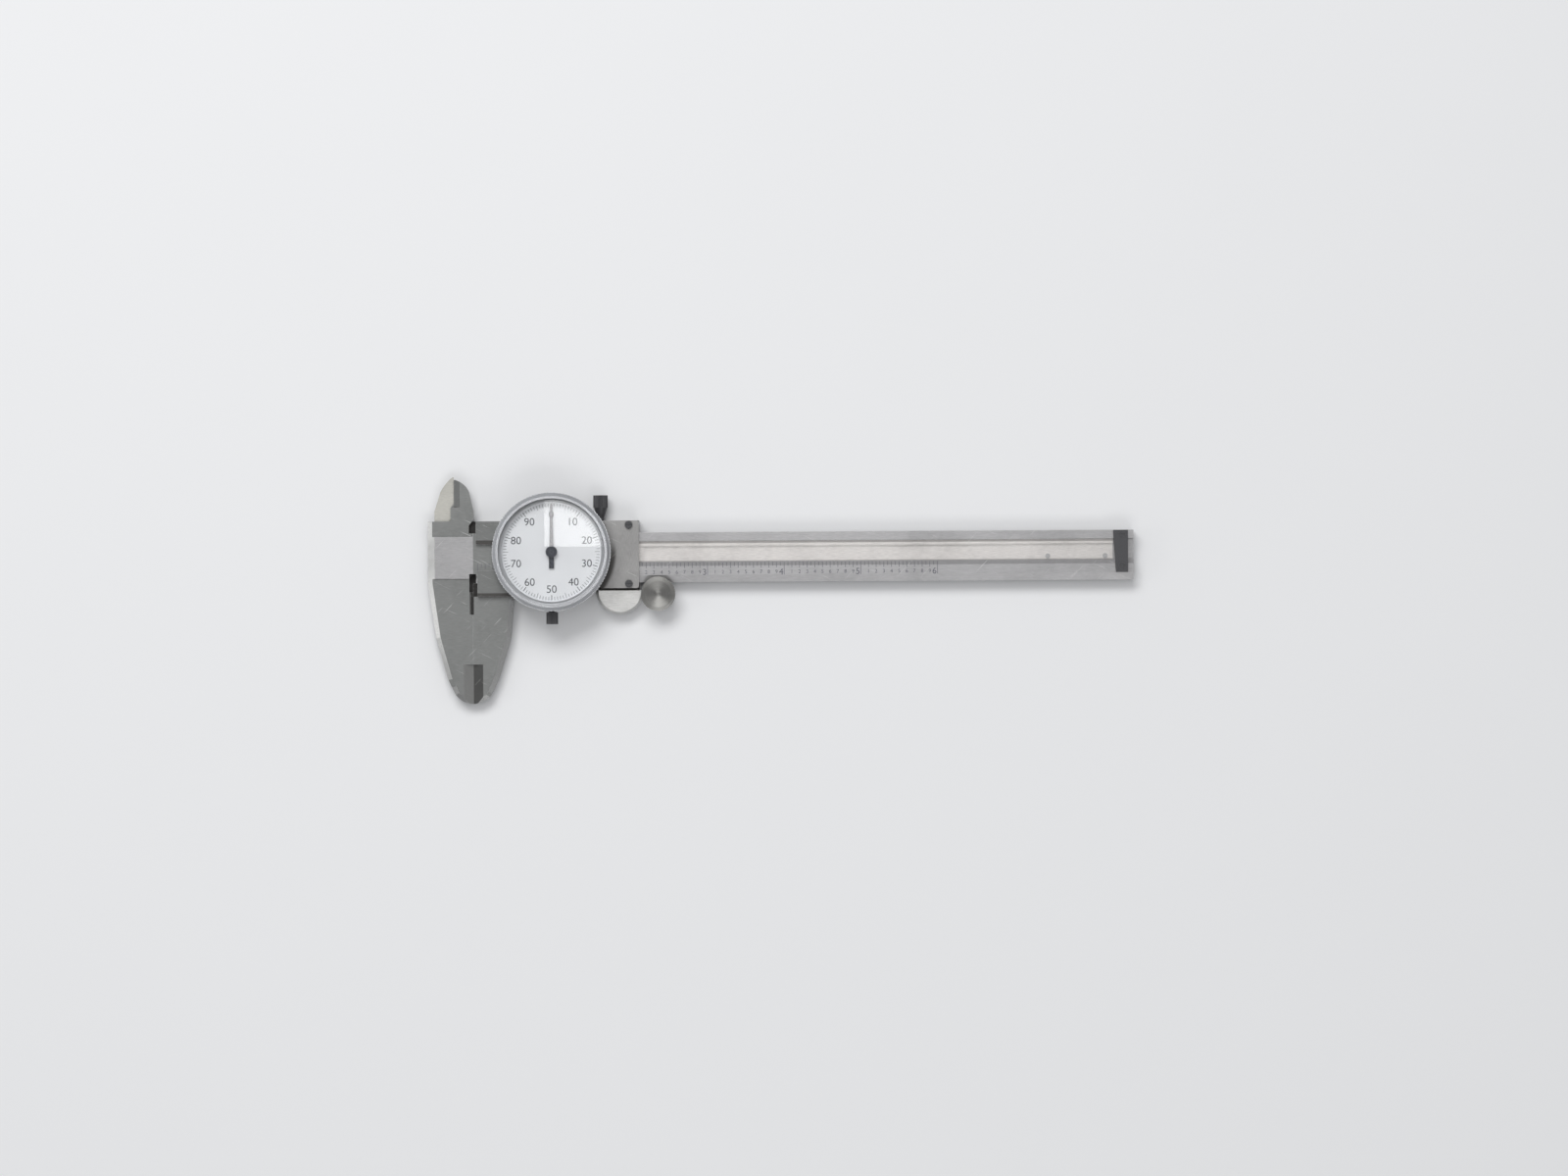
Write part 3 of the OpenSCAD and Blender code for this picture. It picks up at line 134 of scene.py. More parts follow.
class CaliperFinish(bpy.types.PropertyGroup):
    """Colours of the finishes."""

    ground_steel: colour_prop("Ground steel", "Beam's ground faces", (0.435, 0.43, 0.435))
    satin_steel: colour_prop("Satin steel", "Jaws and slide", (0.25, 0.255, 0.25))
    plate_steel: colour_prop("Plate steel", "Plate under the dial", (0.36, 0.355, 0.35))
    nib_steel: colour_prop("Nib steel", "Ground nib of the slide", (0.52, 0.51, 0.47))
    rack_steel: colour_prop("Rack steel", "Rack strip in the beam", (0.68, 0.655, 0.635))
    bright_steel: colour_prop("Bright steel", "Thumb rest", (0.66, 0.655, 0.64))
    chrome: colour_prop("Satin chrome", "Bezel and dial case", (0.53, 0.54, 0.56))
    black_oxide: colour_prop("Black oxide", "Screws and end stop", (0.065, 0.065, 0.069))
    turned_steel: colour_prop("Turned steel", "Thumb roller", (0.25, 0.247, 0.236))
    # Light tone of the ground bevels, partly their finish and partly a painted highlight
    bevel_steel: colour_prop("Bevel steel", "Ground bevels round the jaws", (0.62, 0.62, 0.61))
    # Knife edges: lighter on the beam as a painted highlight, and at 0.3 on the slide as painted
    # shade
    knife_steel: colour_prop("Knife steel", "Knife edges of the jaws", (0.42, 0.42, 0.41))
    # Painted shade: colour that corners, notches, bar edges and the dial case's foot are darkened
    # towards
    grime: colour_prop("Painted Shade", "Dry oil and dust in the corners", (0.06, 0.058, 0.056))
    brass: colour_prop("Brass", "Movement, gib and shoes", (0.60, 0.43, 0.19))
    dial_white: colour_prop("Dial white", "Enamel of the dial face", (0.75, 0.76, 0.78))
    ink: colour_prop("Ink", "Printing on the dial", (0.045, 0.047, 0.055))
    etch: colour_prop("Etch", "Etched scale on the beam", (0.10, 0.10, 0.12))
    needle: colour_prop("Needle", "Blade of the pointer", (0.15, 0.145, 0.155))


class CaliperPrint(bpy.types.PropertyGroup):
    """Sizes of the printing."""

    dial_divisions: IntProperty(
        name="Dial divisions", description="Divisions round the dial", default=100, min=20, max=200
    )
    beam_inches: IntProperty(
        name="Beam inches", description="Inches on the beam's scale", default=6, min=1, max=8
    )
    tick_w: length_prop("Tick width", "Width of a dial division", 0.13 * MM)
    tick_len: length_prop("Tick length", "Length of a dial division", 1.1 * MM)
    long_tick_len: length_prop("Long tick length", "Length of every fifth division", 1.7 * MM)
    number_r: length_prop("Number radius", "Radius of the dial's numbers", 12.3 * MM)
    number_h: length_prop("Number height", "Height of the dial's numbers", 2.5 * MM)
    scale_tick_w: length_prop("Scale tick width", "Width of a line on the beam", 0.17 * MM)
    scale_tick_len: length_prop("Scale tick length", "Length of a half tenth line", 1.3 * MM)
    tenth_tick_len: length_prop("Tenth tick length", "Length of a tenth of an inch line", 1.9 * MM)
    inch_tick_len: length_prop("Inch tick length", "Length of an inch line", 4.2 * MM)
    scale_number_h: length_prop("Scale number height", "Height of a number on the beam", 1.5 * MM)
    film: length_prop("Film", "Thickness of the printing", 0.02 * MM)


class CaliperStage(bpy.types.PropertyGroup):
    """Studio and camera."""

    floor: colour_prop("Floor", "Colour of the floor", (0.86, 0.865, 0.875))
    world: FloatProperty(
        name="World", description="Strength of the room's even light", default=0.33
    )
    key: power_prop("Key", "Power of the key lamp", 14.0)
    fill: power_prop("Fill", "Power of the fill lamp", 4.6)
    left: power_prop("Left", "Power of the low left lamp", 1.3)
    top: power_prop("Top", "Power of the top lamp", 5.3)
    camera_h: length_prop("Camera height", "Height of the camera over the floor", 2.0)
    camera_roll: FloatProperty(
        name="Camera roll", description="Turn of the camera about its line of sight",
        subtype="ANGLE", default=math.radians(-0.35),
    )
    view_w: length_prop("View width", "Width of what the camera sees at the floor", 0.521)
    aim: FloatVectorProperty(
        name="Aim", description="Point that the camera looks at", subtype="XYZ", unit="LENGTH",
        size=3, default=(0.0767, -0.0124, 0.0),
    )


# Node trees


def feed(tree, value, socket):
    """Links a socket to an input, or writes a plain value there."""
    if isinstance(value, bpy.types.NodeSocket):
        tree.links.new(value, socket)
    else:
        socket.default_value = value


def calc(tree, operation, *values):
    """Math node on sockets or numbers."""
    made = tree.nodes.new("ShaderNodeMath")
    made.operation = operation
    for socket, value in zip(made.inputs, values):
        feed(tree, value, socket)
    return made.outputs[0]


def vector_calc(tree, operation, *values):
    """Vector math node on sockets or triples."""
    made = tree.nodes.new("ShaderNodeVectorMath")
    made.operation = operation
    for socket, value in zip(made.inputs, values):
        feed(tree, value, socket)
    return made.outputs["Value" if operation in {"LENGTH", "DOT_PRODUCT"} else "Vector"]


def ramp(tree, value, low, high, to_low=0.0, to_high=1.0):
    """Smooth change from one value to another as the input goes from low to high."""
    made = tree.nodes.new("ShaderNodeMapRange")
    made.interpolation_type = "SMOOTHSTEP"
    labels = ("Value", "From Min", "From Max", "To Min", "To Max")
    for label, item in zip(labels, (value, low, high, to_low, to_high)):
        feed(tree, item, made.inputs[label])
    return made.outputs["Result"]


def blend(tree, factor, first, second, kind="MIX"):
    """Mix of two colours."""
    made = tree.nodes.new("ShaderNodeMix")
    made.data_type = "RGBA"
    made.blend_type = kind
    made.clamp_result = True
    # Inputs of all kinds share their names, so those for colours go by number
    for index, item in ((0, factor), (6, first), (7, second)):
        feed(tree, item, made.inputs[index])
    return made.outputs[2]


def noise(tree, vector, scale, detail=3.0, roughness=0.6):
    """Noise value at a place."""
    made = tree.nodes.new("ShaderNodeTexNoise")
    labels = ("Vector", "Scale", "Detail", "Roughness")
    for label, item in zip(labels, (vector, scale, detail, roughness)):
        feed(tree, item, made.inputs[label])
    return made.outputs["Fac"]


def parts_of(tree, vector):
    """The three parts of a vector."""
    made = tree.nodes.new("ShaderNodeSeparateXYZ")
    feed(tree, vector, made.inputs[0])
    return made.outputs


def lay_out(tree, columns=7, across=220.0, down=300.0):
    """Spreads a tree's nodes out so that it can be read in the editor."""
    for place, item in enumerate(tree.nodes):
        item.location = (across * (place % columns), -down * (place // columns))


def new_group(name, inputs, outputs):
    """Empty shader node group with named sockets."""
    tree = bpy.data.node_groups.new(name, "ShaderNodeTree")
    sockets = tree.interface
    for label, kind, value in inputs:
        socket = sockets.new_socket(name=label, in_out="INPUT", socket_type="NodeSocket" + kind)
        if value is not None:
            socket.default_value = value
    for label, kind in outputs:
        sockets.new_socket(name=label, in_out="OUTPUT", socket_type="NodeSocket" + kind)
    start = tree.nodes.new("NodeGroupInput")
    end = tree.nodes.new("NodeGroupOutput")
    return tree, start.outputs, end.inputs


def use_group(tree, name, **values):
    """Places a group in a tree. Spaces in socket names are written as underscores."""
    made = tree.nodes.new("ShaderNodeGroup")
    made.node_tree = bpy.data.node_groups[name]
    for label, value in values.items():
        feed(tree, value, made.inputs[label.replace("_", " ")])
    return made.outputs


# Shared effects


def group_brushed():
    """Fine grinding lines, long in the direction where the stretch is small."""
    tree, given, out = new_group(
        "Brushed Lines",
        [("Vector", "Vector", None), ("Stretch", "Vector", ALONG_BEAM)],
        [("Lines", "Float")],
    )
    place = vector_calc(tree, "MULTIPLY", given["Vector"], given["Stretch"])
    feed(tree, ramp(tree, noise(tree, place, 1.0, 4.0, 0.65), 0.28, 0.72), out["Lines"])
    lay_out(tree)


def group_turned():
    """Rings left by a lathe, round an upright axis."""
    tree, given, out = new_group(
        "Turned Rings",
        [
            ("Vector", "Vector", None),
            ("Centre", "Vector", (0.0, 0.0, 0.0)),
            ("Density", "Float", RING_DENSITY),
        ],
        [("Rings", "Float")],
    )
    offset = vector_calc(tree, "SUBTRACT", given["Vector"], given["Centre"])
    flat = vector_calc(tree, "MULTIPLY", offset, (1.0, 1.0, 0.0))
    turns = calc(tree, "MULTIPLY", vector_calc(tree, "LENGTH", flat), given["Density"])
    made = tree.nodes.new("ShaderNodeTexNoise")
    made.noise_dimensions = "1D"
    feed(tree, turns, made.inputs["W"])
    made.inputs["Scale"].default_value = 1.0
    made.inputs["Detail"].default_value = 2.0
    feed(tree, ramp(tree, made.outputs["Fac"], 0.3, 0.7), out["Rings"])
    lay_out(tree)


def group_edges():
    """Mask that is 1 on sharp edges, broken up as wear is."""
    tree, given, out = new_group(
        "Edge Wear",
        [("Vector", "Vector", None), ("Radius", "Float", 0.15 * MM), ("Breakup", "Float", 900.0)],
        [("Edge", "Float")],
    )
    rounded = tree.nodes.new("ShaderNodeBevel")
    rounded.samples = 4
    feed(tree, given["Radius"], rounded.inputs["Radius"])
    surface = tree.nodes.new("ShaderNodeNewGeometry")
    turn = vector_calc(tree, "DOT_PRODUCT", rounded.outputs["Normal"], surface.outputs["Normal"])
    sharp = ramp(tree, turn, 0.995, 0.85)
    worn = ramp(tree, noise(tree, given["Vector"], given["Breakup"], 3.0), 0.3, 0.6, 0.35, 1.0)
    feed(tree, calc(tree, "MULTIPLY", sharp, worn), out["Edge"])
    lay_out(tree)


def group_grime():
    """Mask that is 1 deep in corners and gaps, from ambient occlusion, which paints shade there.
    """
    for name, alone in (("Painted Corner Shade", False), ("Own Painted Corner Shade", True)):
        tree, given, out = new_group(
            name,
            [
                ("Vector", "Vector", None),
                ("Reach", "Float", PAINTED_SHADE_REACH),
                ("Start", "Float", 0.82),
                ("Full", "Float", 0.3),
            ],
            [("Painted Shade", "Float")],
        )
        shade = tree.nodes.new("ShaderNodeAmbientOcclusion")
        shade.samples = 8
        shade.only_local = alone
        feed(tree, given["Reach"], shade.inputs["Distance"])
        deep = ramp(tree, shade.outputs["AO"], given["Start"], given["Full"])
        patchy = ramp(tree, noise(tree, given["Vector"], 700.0, 3.0), 0.25, 0.6, 0.6, 1.0)
        feed(tree, calc(tree, "MULTIPLY", deep, patchy), out["Painted Shade"])
        lay_out(tree)


def group_marks():
    """Soft handling marks: broad smudges with a finer breakup."""
    tree, given, out = new_group(
        "Handling Marks",
        [("Vector", "Vector", None), ("Scale", "Float", 70.0)],
        [("Marks", "Float")],
    )
    broad = ramp(tree, noise(tree, given["Vector"], given["Scale"], 3.0), 0.38, 0.68)
    fine_scale = calc(tree, "MULTIPLY", given["Scale"], 9.0)
    fine = ramp(tree, noise(tree, given["Vector"], fine_scale, 4.0), 0.3, 0.75, 0.5, 1.0)
    feed(tree, calc(tree, "MULTIPLY", broad, fine), out["Marks"])
    lay_out(tree)


def group_scratches():
    """Sparse hairline scratches in two crossing directions."""
    tree, given, out = new_group(
        "Hairlines",
        [("Vector", "Vector", None), ("Density", "Float", 260.0)],
        [("Scratches", "Float")],
    )
    found = []
    for angle in (0.45, -0.8):
        turned = tree.nodes.new("ShaderNodeVectorRotate")
        turned.rotation_type = "Z_AXIS"
        feed(tree, given["Vector"], turned.inputs["Vector"])
        turned.inputs["Angle"].default_value = angle
        long = vector_calc(tree, "MULTIPLY", turned.outputs["Vector"], (0.35, 14.0, 1.0))
        found.append(ramp(tree, noise(tree, long, given["Density"], 2.0, 0.5), 0.70, 0.76))
    feed(tree, calc(tree, "MAXIMUM", *found), out["Scratches"])
    lay_out(tree)


def group_tone():
    """Colour and roughness of a metal from its lines, marks, scratches and worn edges."""
    tree, given, out = new_group(
        "Metal Tone",
        [
            ("Colour", "Color", (0.5, 0.5, 0.5, 1.0)),
            ("Worn Colour", "Color", (0.75, 0.75, 0.74, 1.0)),
            ("Roughness", "Float", 0.35),
            ("Lines", "Float", 0.5),
            ("Marks", "Float", 0.0),
            ("Scratches", "Float", 0.0),
            ("Edge", "Float", 0.0),
            ("Line Depth", "Float", 0.25),
            ("Mark Depth", "Float", 0.12),
            ("Wear", "Float", 0.5),
        ],
        [("Colour", "Color"), ("Roughness", "Float"), ("Height", "Float")],
    )
    half = calc(tree, "SUBTRACT", given["Lines"], 0.5)
    lines = calc(tree, "MULTIPLY_ADD", half, given["Line Depth"], 1.0)
    dulled = calc(tree, "MULTIPLY", given["Marks"], given["Mark Depth"])
    shade = calc(tree, "MULTIPLY", lines, calc(tree, "SUBTRACT", 1.0, dulled))
    toned = vector_calc(tree, "MULTIPLY", given["Colour"], shade)
    rubbed = calc(tree, "MAXIMUM", given["Edge"], given["Scratches"])
    bare = calc(tree, "MULTIPLY", rubbed, given["Wear"])
    feed(tree, blend(tree, bare, toned, given["Worn Colour"]), out["Colour"])
    rough = calc(tree, "MULTIPLY_ADD", half, 0.10, given["Roughness"])
    feed(tree, calc(tree, "MULTIPLY_ADD", given["Marks"], 0.08, rough), out["Roughness"])
    dents = calc(tree, "MULTIPLY", given["Scratches"], -0.8)
    feed(tree, calc(tree, "ADD", given["Lines"], dents), out["Height"])
    lay_out(tree)


# Finishes


def scaled(colour, by):
    """Colour made darker or lighter by a factor."""
    return tuple(c * by for c in colour)


def opaque(colour):
    """Colour with full alpha, as a colour socket takes it."""
    return (*colour, 1.0)


def new_material(name):
    """Material with a Principled shader, and the place on the object in metres."""
    made = bpy.data.materials.new(name)
    made.use_nodes = True
    tree = made.node_tree
    place = tree.nodes.new("ShaderNodeTexCoord").outputs["Object"]
    return made, tree, tree.nodes["Principled BSDF"], place


def bump(tree, shader, height, strength, distance):
    """Shallow relief from a height."""
    made = tree.nodes.new("ShaderNodeBump")
    made.inputs["Strength"].default_value = strength
    made.inputs["Distance"].default_value = distance
    feed(tree, height, made.inputs["Height"])
    feed(tree, made.outputs["Normal"], shader.inputs["Normal"])


def metal(name, colour, roughness, stretch=ALONG_BEAM, centre=None, density=RING_DENSITY,
          line_depth=0.25, wear=0.5, worn=WORN_STEEL, anisotropic=0.0, patches=(), grime=None,
          reach=PAINTED_SHADE_REACH):
    """Bare or plated metal, brushed in one direction or turned round a centre.

    Each patch is a function that returns a mask over the surface, with the colour and the
    roughness where that mask is 1. The grime argument names the group that paints shade
    into the corners, and reach is how far from a wall it does so.
    """
    made, tree, shader, place = new_material(name)
    if centre is None:
        lines = use_group(tree, "Brushed Lines", Vector=place, Stretch=stretch)["Lines"]
    else:
        rings = use_group(tree, "Turned Rings", Vector=place, Centre=centre, Density=density)
        lines = rings["Rings"]
    base, rough = opaque(colour), roughness
    for mask, other_colour, other_roughness in patches:
        share = mask(tree, place)
        base = blend(tree, share, base, opaque(other_colour))
        gap = calc(tree, "SUBTRACT", other_roughness, rough)
        rough = calc(tree, "MULTIPLY_ADD", share, gap, rough)
    tone = use_group(
        tree, "Metal Tone", Colour=base, Worn_Colour=opaque(worn), Roughness=rough, Lines=lines,
        Marks=use_group(tree, "Handling Marks", Vector=place)["Marks"],
        Scratches=use_group(tree, "Hairlines", Vector=place)["Scratches"],
        Edge=use_group(tree, "Edge Wear", Vector=place)["Edge"],
        Line_Depth=line_depth, Wear=wear,
    )
    shown = tone["Colour"]
    # Painted shade: the colour is darkened where ambient occlusion finds corners
    if grime is not None:
        corner_shade = use_group(tree, grime, Vector=place, Reach=reach)["Painted Shade"]
        dark = bpy.context.scene.caliper_finish.grime
        shown = blend(tree, calc(tree, "MULTIPLY", corner_shade, PAINTED_SHADE_COVER), shown, opaque(dark))
    feed(tree, shown, shader.inputs["Base Color"])
    feed(tree, tone["Roughness"], shader.inputs["Roughness"])
    bump(tree, shader, tone["Height"], strength=0.25, distance=0.01 * MM)
    shader.inputs["Metallic"].default_value = 1.0
    shader.inputs["Anisotropic"].default_value = anisotropic
    if centre is not None:
        shader.inputs["Anisotropic Rotation"].default_value = QUARTER_TURN
    lay_out(tree)
    return made


# Masks over the surface of a metal; several of them place painted shade and highlights


def product(tree, first, *others):
    """Product of masks, which is 1 where all of them are."""
    for other in others:
        first = calc(tree, "MULTIPLY", first, other)
    return first


def strip(tree, value, low, high, soft=0.1 * MM):
    """1 between two levels, with soft edges."""
    return product(tree, ramp(tree, value, low - soft, low), ramp(tree, value, high + soft, high))


def beam_front(tree, z):
    """1 on the beam's front face, 0 behind it."""
    return ramp(tree, z, BEAM_HIGH.z - 0.2 * MM, BEAM_HIGH.z - 0.1 * MM)


def jaw_mask(tree, place):
    """1 on the thinner jaw and nib of the beam, 0 on its ground faces."""
    x, _, z = parts_of(tree, place)
    depth = calc(tree, "ABSOLUTE", calc(tree, "SUBTRACT", z, BEAM_MID_Z))
    thin = ramp(tree, depth, BEAM_HALF_T - 0.15 * MM, BEAM_HALF_T - 0.3 * MM)
    left = ramp(tree, x, JAW_PLANE_X + 0.5 * MM, JAW_PLANE_X + 0.3 * MM)
    return product(tree, thin, left)


def tilt_mask(tree, lean):
    """1 on front faces that lean to the side that a direction in the beam's plane gives."""
    facing = tree.nodes.new("ShaderNodeTexCoord").outputs["Normal"]
    side = ramp(tree, vector_calc(tree, "DOT_PRODUCT", facing, lean), 0.28, 0.36)
    front = ramp(tree, parts_of(tree, facing)[2], 0.5, 0.6)
    return product(tree, side, front)


def under_head(tree, place):
    """1 from the head's top edge down, 0 on the nibs above it."""
    return ramp(tree, parts_of(tree, place)[1], HEAD_TOP_Y + 0.2 * MM, HEAD_TOP_Y - 0.2 * MM)


def left_lean_mask(tree, place):
    """1 where the jaws lean left: the fixed one's bevel and the moving one's knife edge."""
    return product(tree, tilt_mask(tree, (-1.0, 0.0, 0.0)), under_head(tree, place))


def right_lean_mask(tree, place):
    """1 where the jaws lean right: the moving one's bevel and the fixed one's knife edge."""
    return product(tree, tilt_mask(tree, (1.0, 0.0, 0.0)), under_head(tree, place))


def tip_mask(tree, place):
    """1 on the bevel round the jaws' tips."""
    return tilt_mask(tree, (0.0, -1.0, 0.0))


def bar_mask(tree, place):
    """1 on the slide's two bars, which stand in front of the beam's face."""
    return ramp(tree, parts_of(tree, place)[2], BEAM_HIGH.z + 0.8 * MM, BEAM_HIGH.z + 1.0 * MM)


def bar_edge_mask(tree, place):
    """1 along the lower edges of the slide's two bars, painted dark as the shadow along them."""
    y = parts_of(tree, place)[1]
    upper = strip(tree, y, UPPER_BAR_Y - 0.2 * MM, UPPER_BAR_Y + 1.3 * MM)
    lower = strip(tree, y, LOWER_BAR_Y - 0.2 * MM, LOWER_BAR_Y + 1.1 * MM)
    return product(tree, calc(tree, "MAXIMUM", upper, lower), bar_mask(tree, place))


def foot_mask(tree, place):
    """1 on the plate round the foot of the dial case, on the thumb's side, painted dark as the
    dial's shadow.
    """
    x, y, _ = parts_of(tree, place)
    across = calc(tree, "SUBTRACT", x, DIAL_AXIS.x)
    along = calc(tree, "SUBTRACT", y, DIAL_AXIS.y)
    square = calc(tree, "MULTIPLY_ADD", across, across, calc(tree, "MULTIPLY", along, along))
    r = calc(tree, "SQRT", square)
    ring = strip(tree, r, BEZEL_R - 1.0 * MM, BEZEL_R + 0.7 * MM, soft=1.3 * MM)
    low = ramp(tree, along, 4.0 * MM, -2.0 * MM)
    return product(tree, ring, low, bar_mask(tree, place))


def groove_edge_mask(tree, place):
    """1 on the beam's face along the groove's lower edge, painted dark as the groove's shade."""
    x, y, z = parts_of(tree, place)
    along = strip(tree, y, RACK_LOW.y - 1.3 * MM, RACK_LOW.y - 0.1 * MM, soft=0.2 * MM)
    beside = ramp(tree, x, RACK_LOW.x, RACK_LOW.x + 1.0 * MM)
    return product(tree, along, beside, beam_front(tree, z))


def notch_mask(tree, place):
    """1 inside the relief where the jaws meet the beam, and in the slot below it, painted dark as
    the shade in there.
    """
    x, y, z = parts_of(tree, place)
    across = strip(tree, x, JAW_PLANE_X - 1.6 * MM, JAW_PLANE_X + 2.2 * MM)
    along = strip(tree, y, SLOT_FOOT_Y, NOTCH_Y + 3.4 * MM)
    deep = ramp(tree, z, BEAM_HIGH.z - 0.6 * MM, BEAM_HIGH.z - 0.7 * MM)
    return product(tree, across, along, deep)


def film_mask(tree, place):
    """1 on the beam's face beside the head, painted in the satin tone as shade under the slide at
    rest.
    """
    x, _, z = parts_of(tree, place)
    start = ramp(tree, x, JAW_PLANE_X, JAW_PLANE_X + 0.2 * MM)
    end = ramp(tree, x, JAW_PLANE_X + 16.0 * MM, JAW_PLANE_X + 8.0 * MM)
    return product(tree, start, end, beam_front(tree, z))


def slot_edge_mask(tree, place):
    """1 on the fixed jaw beside the slot, painted dark as shade that widens the slot's dark line.
    """
    x, y, _ = parts_of(tree, place)
    across = strip(tree, x, JAW_PLANE_X - 0.9 * MM, JAW_PLANE_X + 0.2 * MM, soft=0.3 * MM)
    along = strip(tree, y, SLOT_FOOT_Y + 0.4 * MM, NOTCH_Y, soft=0.3 * MM)
    return product(tree, across, along)


def arm_mask(tree, place):
    """1 in the corner between the slide's arm and its upper bar, painted dark as the shade there.
    """
    x, y, z = parts_of(tree, place)
    below = under_head(tree, place)
    across = strip(tree, x, JAW_PLANE_X - 1.5 * MM, JAW_PLANE_X + 1.2 * MM, soft=0.2 * MM)
    behind = ramp(tree, z, BEAM_MID_Z + 0.1 * MM, BEAM_MID_Z)
    above = ramp(tree, y, BEAM_LINE_Y + 7.5 * MM, BEAM_LINE_Y + 8.0 * MM)
    return product(tree, below, across, behind, above)


def rack_edge_mask(tree, place):
    """1 along the rack's two long edges, painted dark as the shade of the groove's walls."""
    y = parts_of(tree, place)[1]
    low = ramp(tree, y, RACK_LOW.y + 0.3 * MM, RACK_LOW.y + 0.15 * MM)
    high = ramp(tree, y, RACK_HIGH.y - 0.9 * MM, RACK_HIGH.y - 0.6 * MM)
    return calc(tree, "MAXIMUM", low, high)


def post_mask(tree, place):
    """1 on the end of the centre arbor, from the pointer up."""
    return ramp(tree, parts_of(tree, place)[2], POINTER_LOW.z, POINTER_LOW.z + 0.1 * MM)


def nib_mask(tree, place):
    """1 on the slide's nib, above and left of its top rail."""
    x, y, _ = parts_of(tree, place)
    above = ramp(tree, y, HEAD_TOP_Y - 0.2 * MM, HEAD_TOP_Y + 0.2 * MM)
    return product(tree, above, ramp(tree, x, READING_X, READING_X - 0.4 * MM))


def tail_mask(tree, place):
    """1 on the pointer's hub and tail, 0 on its blade."""
    return ramp(tree, parts_of(tree, place)[1], DIAL_AXIS.y + 2.1 * MM, DIAL_AXIS.y + 1.95 * MM)


# Finishes other than bare metal


def black_oxide(name, colour):
    """Blackened steel with a fine matt grain and bare edges."""
    made, tree, shader, place = new_material(name)
    grain = noise(tree, place, 6000.0, 4.0)
    edge = use_group(tree, "Edge Wear", Vector=place, Radius=0.12 * MM, Breakup=1600.0)["Edge"]
    marks = use_group(tree, "Handling Marks", Vector=place, Scale=220.0)["Marks"]
    dark, light = opaque(scaled(colour, 0.75)), opaque(scaled(colour, 1.5))
    mottled = blend(tree, ramp(tree, grain, 0.3, 0.7), dark, light)
    dusty = blend(tree, calc(tree, "MULTIPLY", marks, 0.35), mottled, opaque(OXIDE_DUST))
    worn = blend(tree, calc(tree, "MULTIPLY", edge, 0.55), dusty, opaque(OXIDE_EDGE))
    feed(tree, worn, shader.inputs["Base Color"])
    feed(tree, ramp(tree, grain, 0.25, 0.75, 0.36, 0.52), shader.inputs["Roughness"])
    bump(tree, shader, grain, strength=0.25, distance=0.02 * MM)
    shader.inputs["Metallic"].default_value = 0.35
    lay_out(tree)
    return made


def enamel(name, colour):
    """White dial enamel with a faint orange peel and specks of dust."""
    made, tree, shader, place = new_material(name)
    peel = noise(tree, place, 1500.0, 2.0)
    tint = noise(tree, place, 90.0, 3.0)
    dark = opaque(scaled(colour, 0.955))
    soft = blend(tree, ramp(tree, tint, 0.3, 0.7), opaque(colour), dark)
    specks = ramp(tree, noise(tree, place, 2600.0, 1.0), 0.78, 0.82)
    dusty = blend(tree, calc(tree, "MULTIPLY", specks, 0.5), soft, opaque(ENAMEL_DUST))
    feed(tree, dusty, shader.inputs["Base Color"])
    feed(tree, ramp(tree, peel, 0.3, 0.7, 0.38, 0.5), shader.inputs["Roughness"])
    bump(tree, shader, peel, strength=0.08, distance=0.02 * MM)
    lay_out(tree)
    return made


def ink(name, colour, roughness):
    """Printed or etched lines with a slightly uneven edge to their black."""
    made, tree, shader, place = new_material(name)
    uneven = noise(tree, place, 5200.0, 3.0)
    pale = tuple(min(1.0, c * 1.9 + 0.01) for c in colour)
    shown = blend(tree, ramp(tree, uneven, 0.45, 0.8), opaque(colour), opaque(pale))
    rough = ramp(tree, uneven, 0.3, 0.7, roughness - 0.06, roughness + 0.06)
    feed(tree, shown, shader.inputs["Base Color"])
    feed(tree, rough, shader.inputs["Roughness"])
    lay_out(tree)
    return made


def glass(name):
    """Clear crystal with a few faint wipe marks, which lets the lamps through."""
    made, tree, shader, place = new_material(name)
    wiped = use_group(tree, "Handling Marks", Vector=place, Scale=110.0)["Marks"]
    feed(tree, ramp(tree, wiped, 0.2, 1.0, 0.0, 0.035), shader.inputs["Roughness"])
    shader.inputs["Base Color"].default_value = opaque(CRYSTAL_TINT)
    shader.inputs["Transmission Weight"].default_value = 1.0
    shader.inputs["IOR"].default_value = 1.40
    clear = tree.nodes.new("ShaderNodeBsdfTransparent")
    mixed = tree.nodes.new("ShaderNodeMixShader")
    ray = tree.nodes.new("ShaderNodeLightPath").outputs
    feed(tree, calc(tree, "MAXIMUM", ray["Is Shadow Ray"], ray["Is Diffuse Ray"]), mixed.inputs[0])
    feed(tree, shader.outputs[0], mixed.inputs[1])
    feed(tree, clear.outputs[0], mixed.inputs[2])
    feed(tree, mixed.outputs[0], tree.nodes["Material Output"].inputs["Surface"])
    lay_out(tree)
    return made


# Pieces


def dress(material, *names):
    """Gives CAD nodes a material."""
    for name in names:
        data = NODES[name].data
        data.materials.clear()
        data.materials.append(material)


def add_piece(name, shape, material, body):
    """New piece that rides a body, from a bmesh."""
    data = bpy.data.meshes.new(name)
    shape.to_mesh(data)
    shape.free()
    data.materials.append(material)
    piece = bpy.data.objects.new(name, data)
    bpy.context.scene.collection.objects.link(piece)
    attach(piece, body)


def add_bar(shape, centre, size, turn=0.0):
    """Thin bar in a bmesh, turned about the upright axis through its centre."""
    at = Matrix.Translation(centre) @ Matrix.Rotation(turn, 4, "Z") @ Matrix.Diagonal((*size, 1.0))
    bmesh.ops.create_cube(shape, size=1.0, matrix=at)


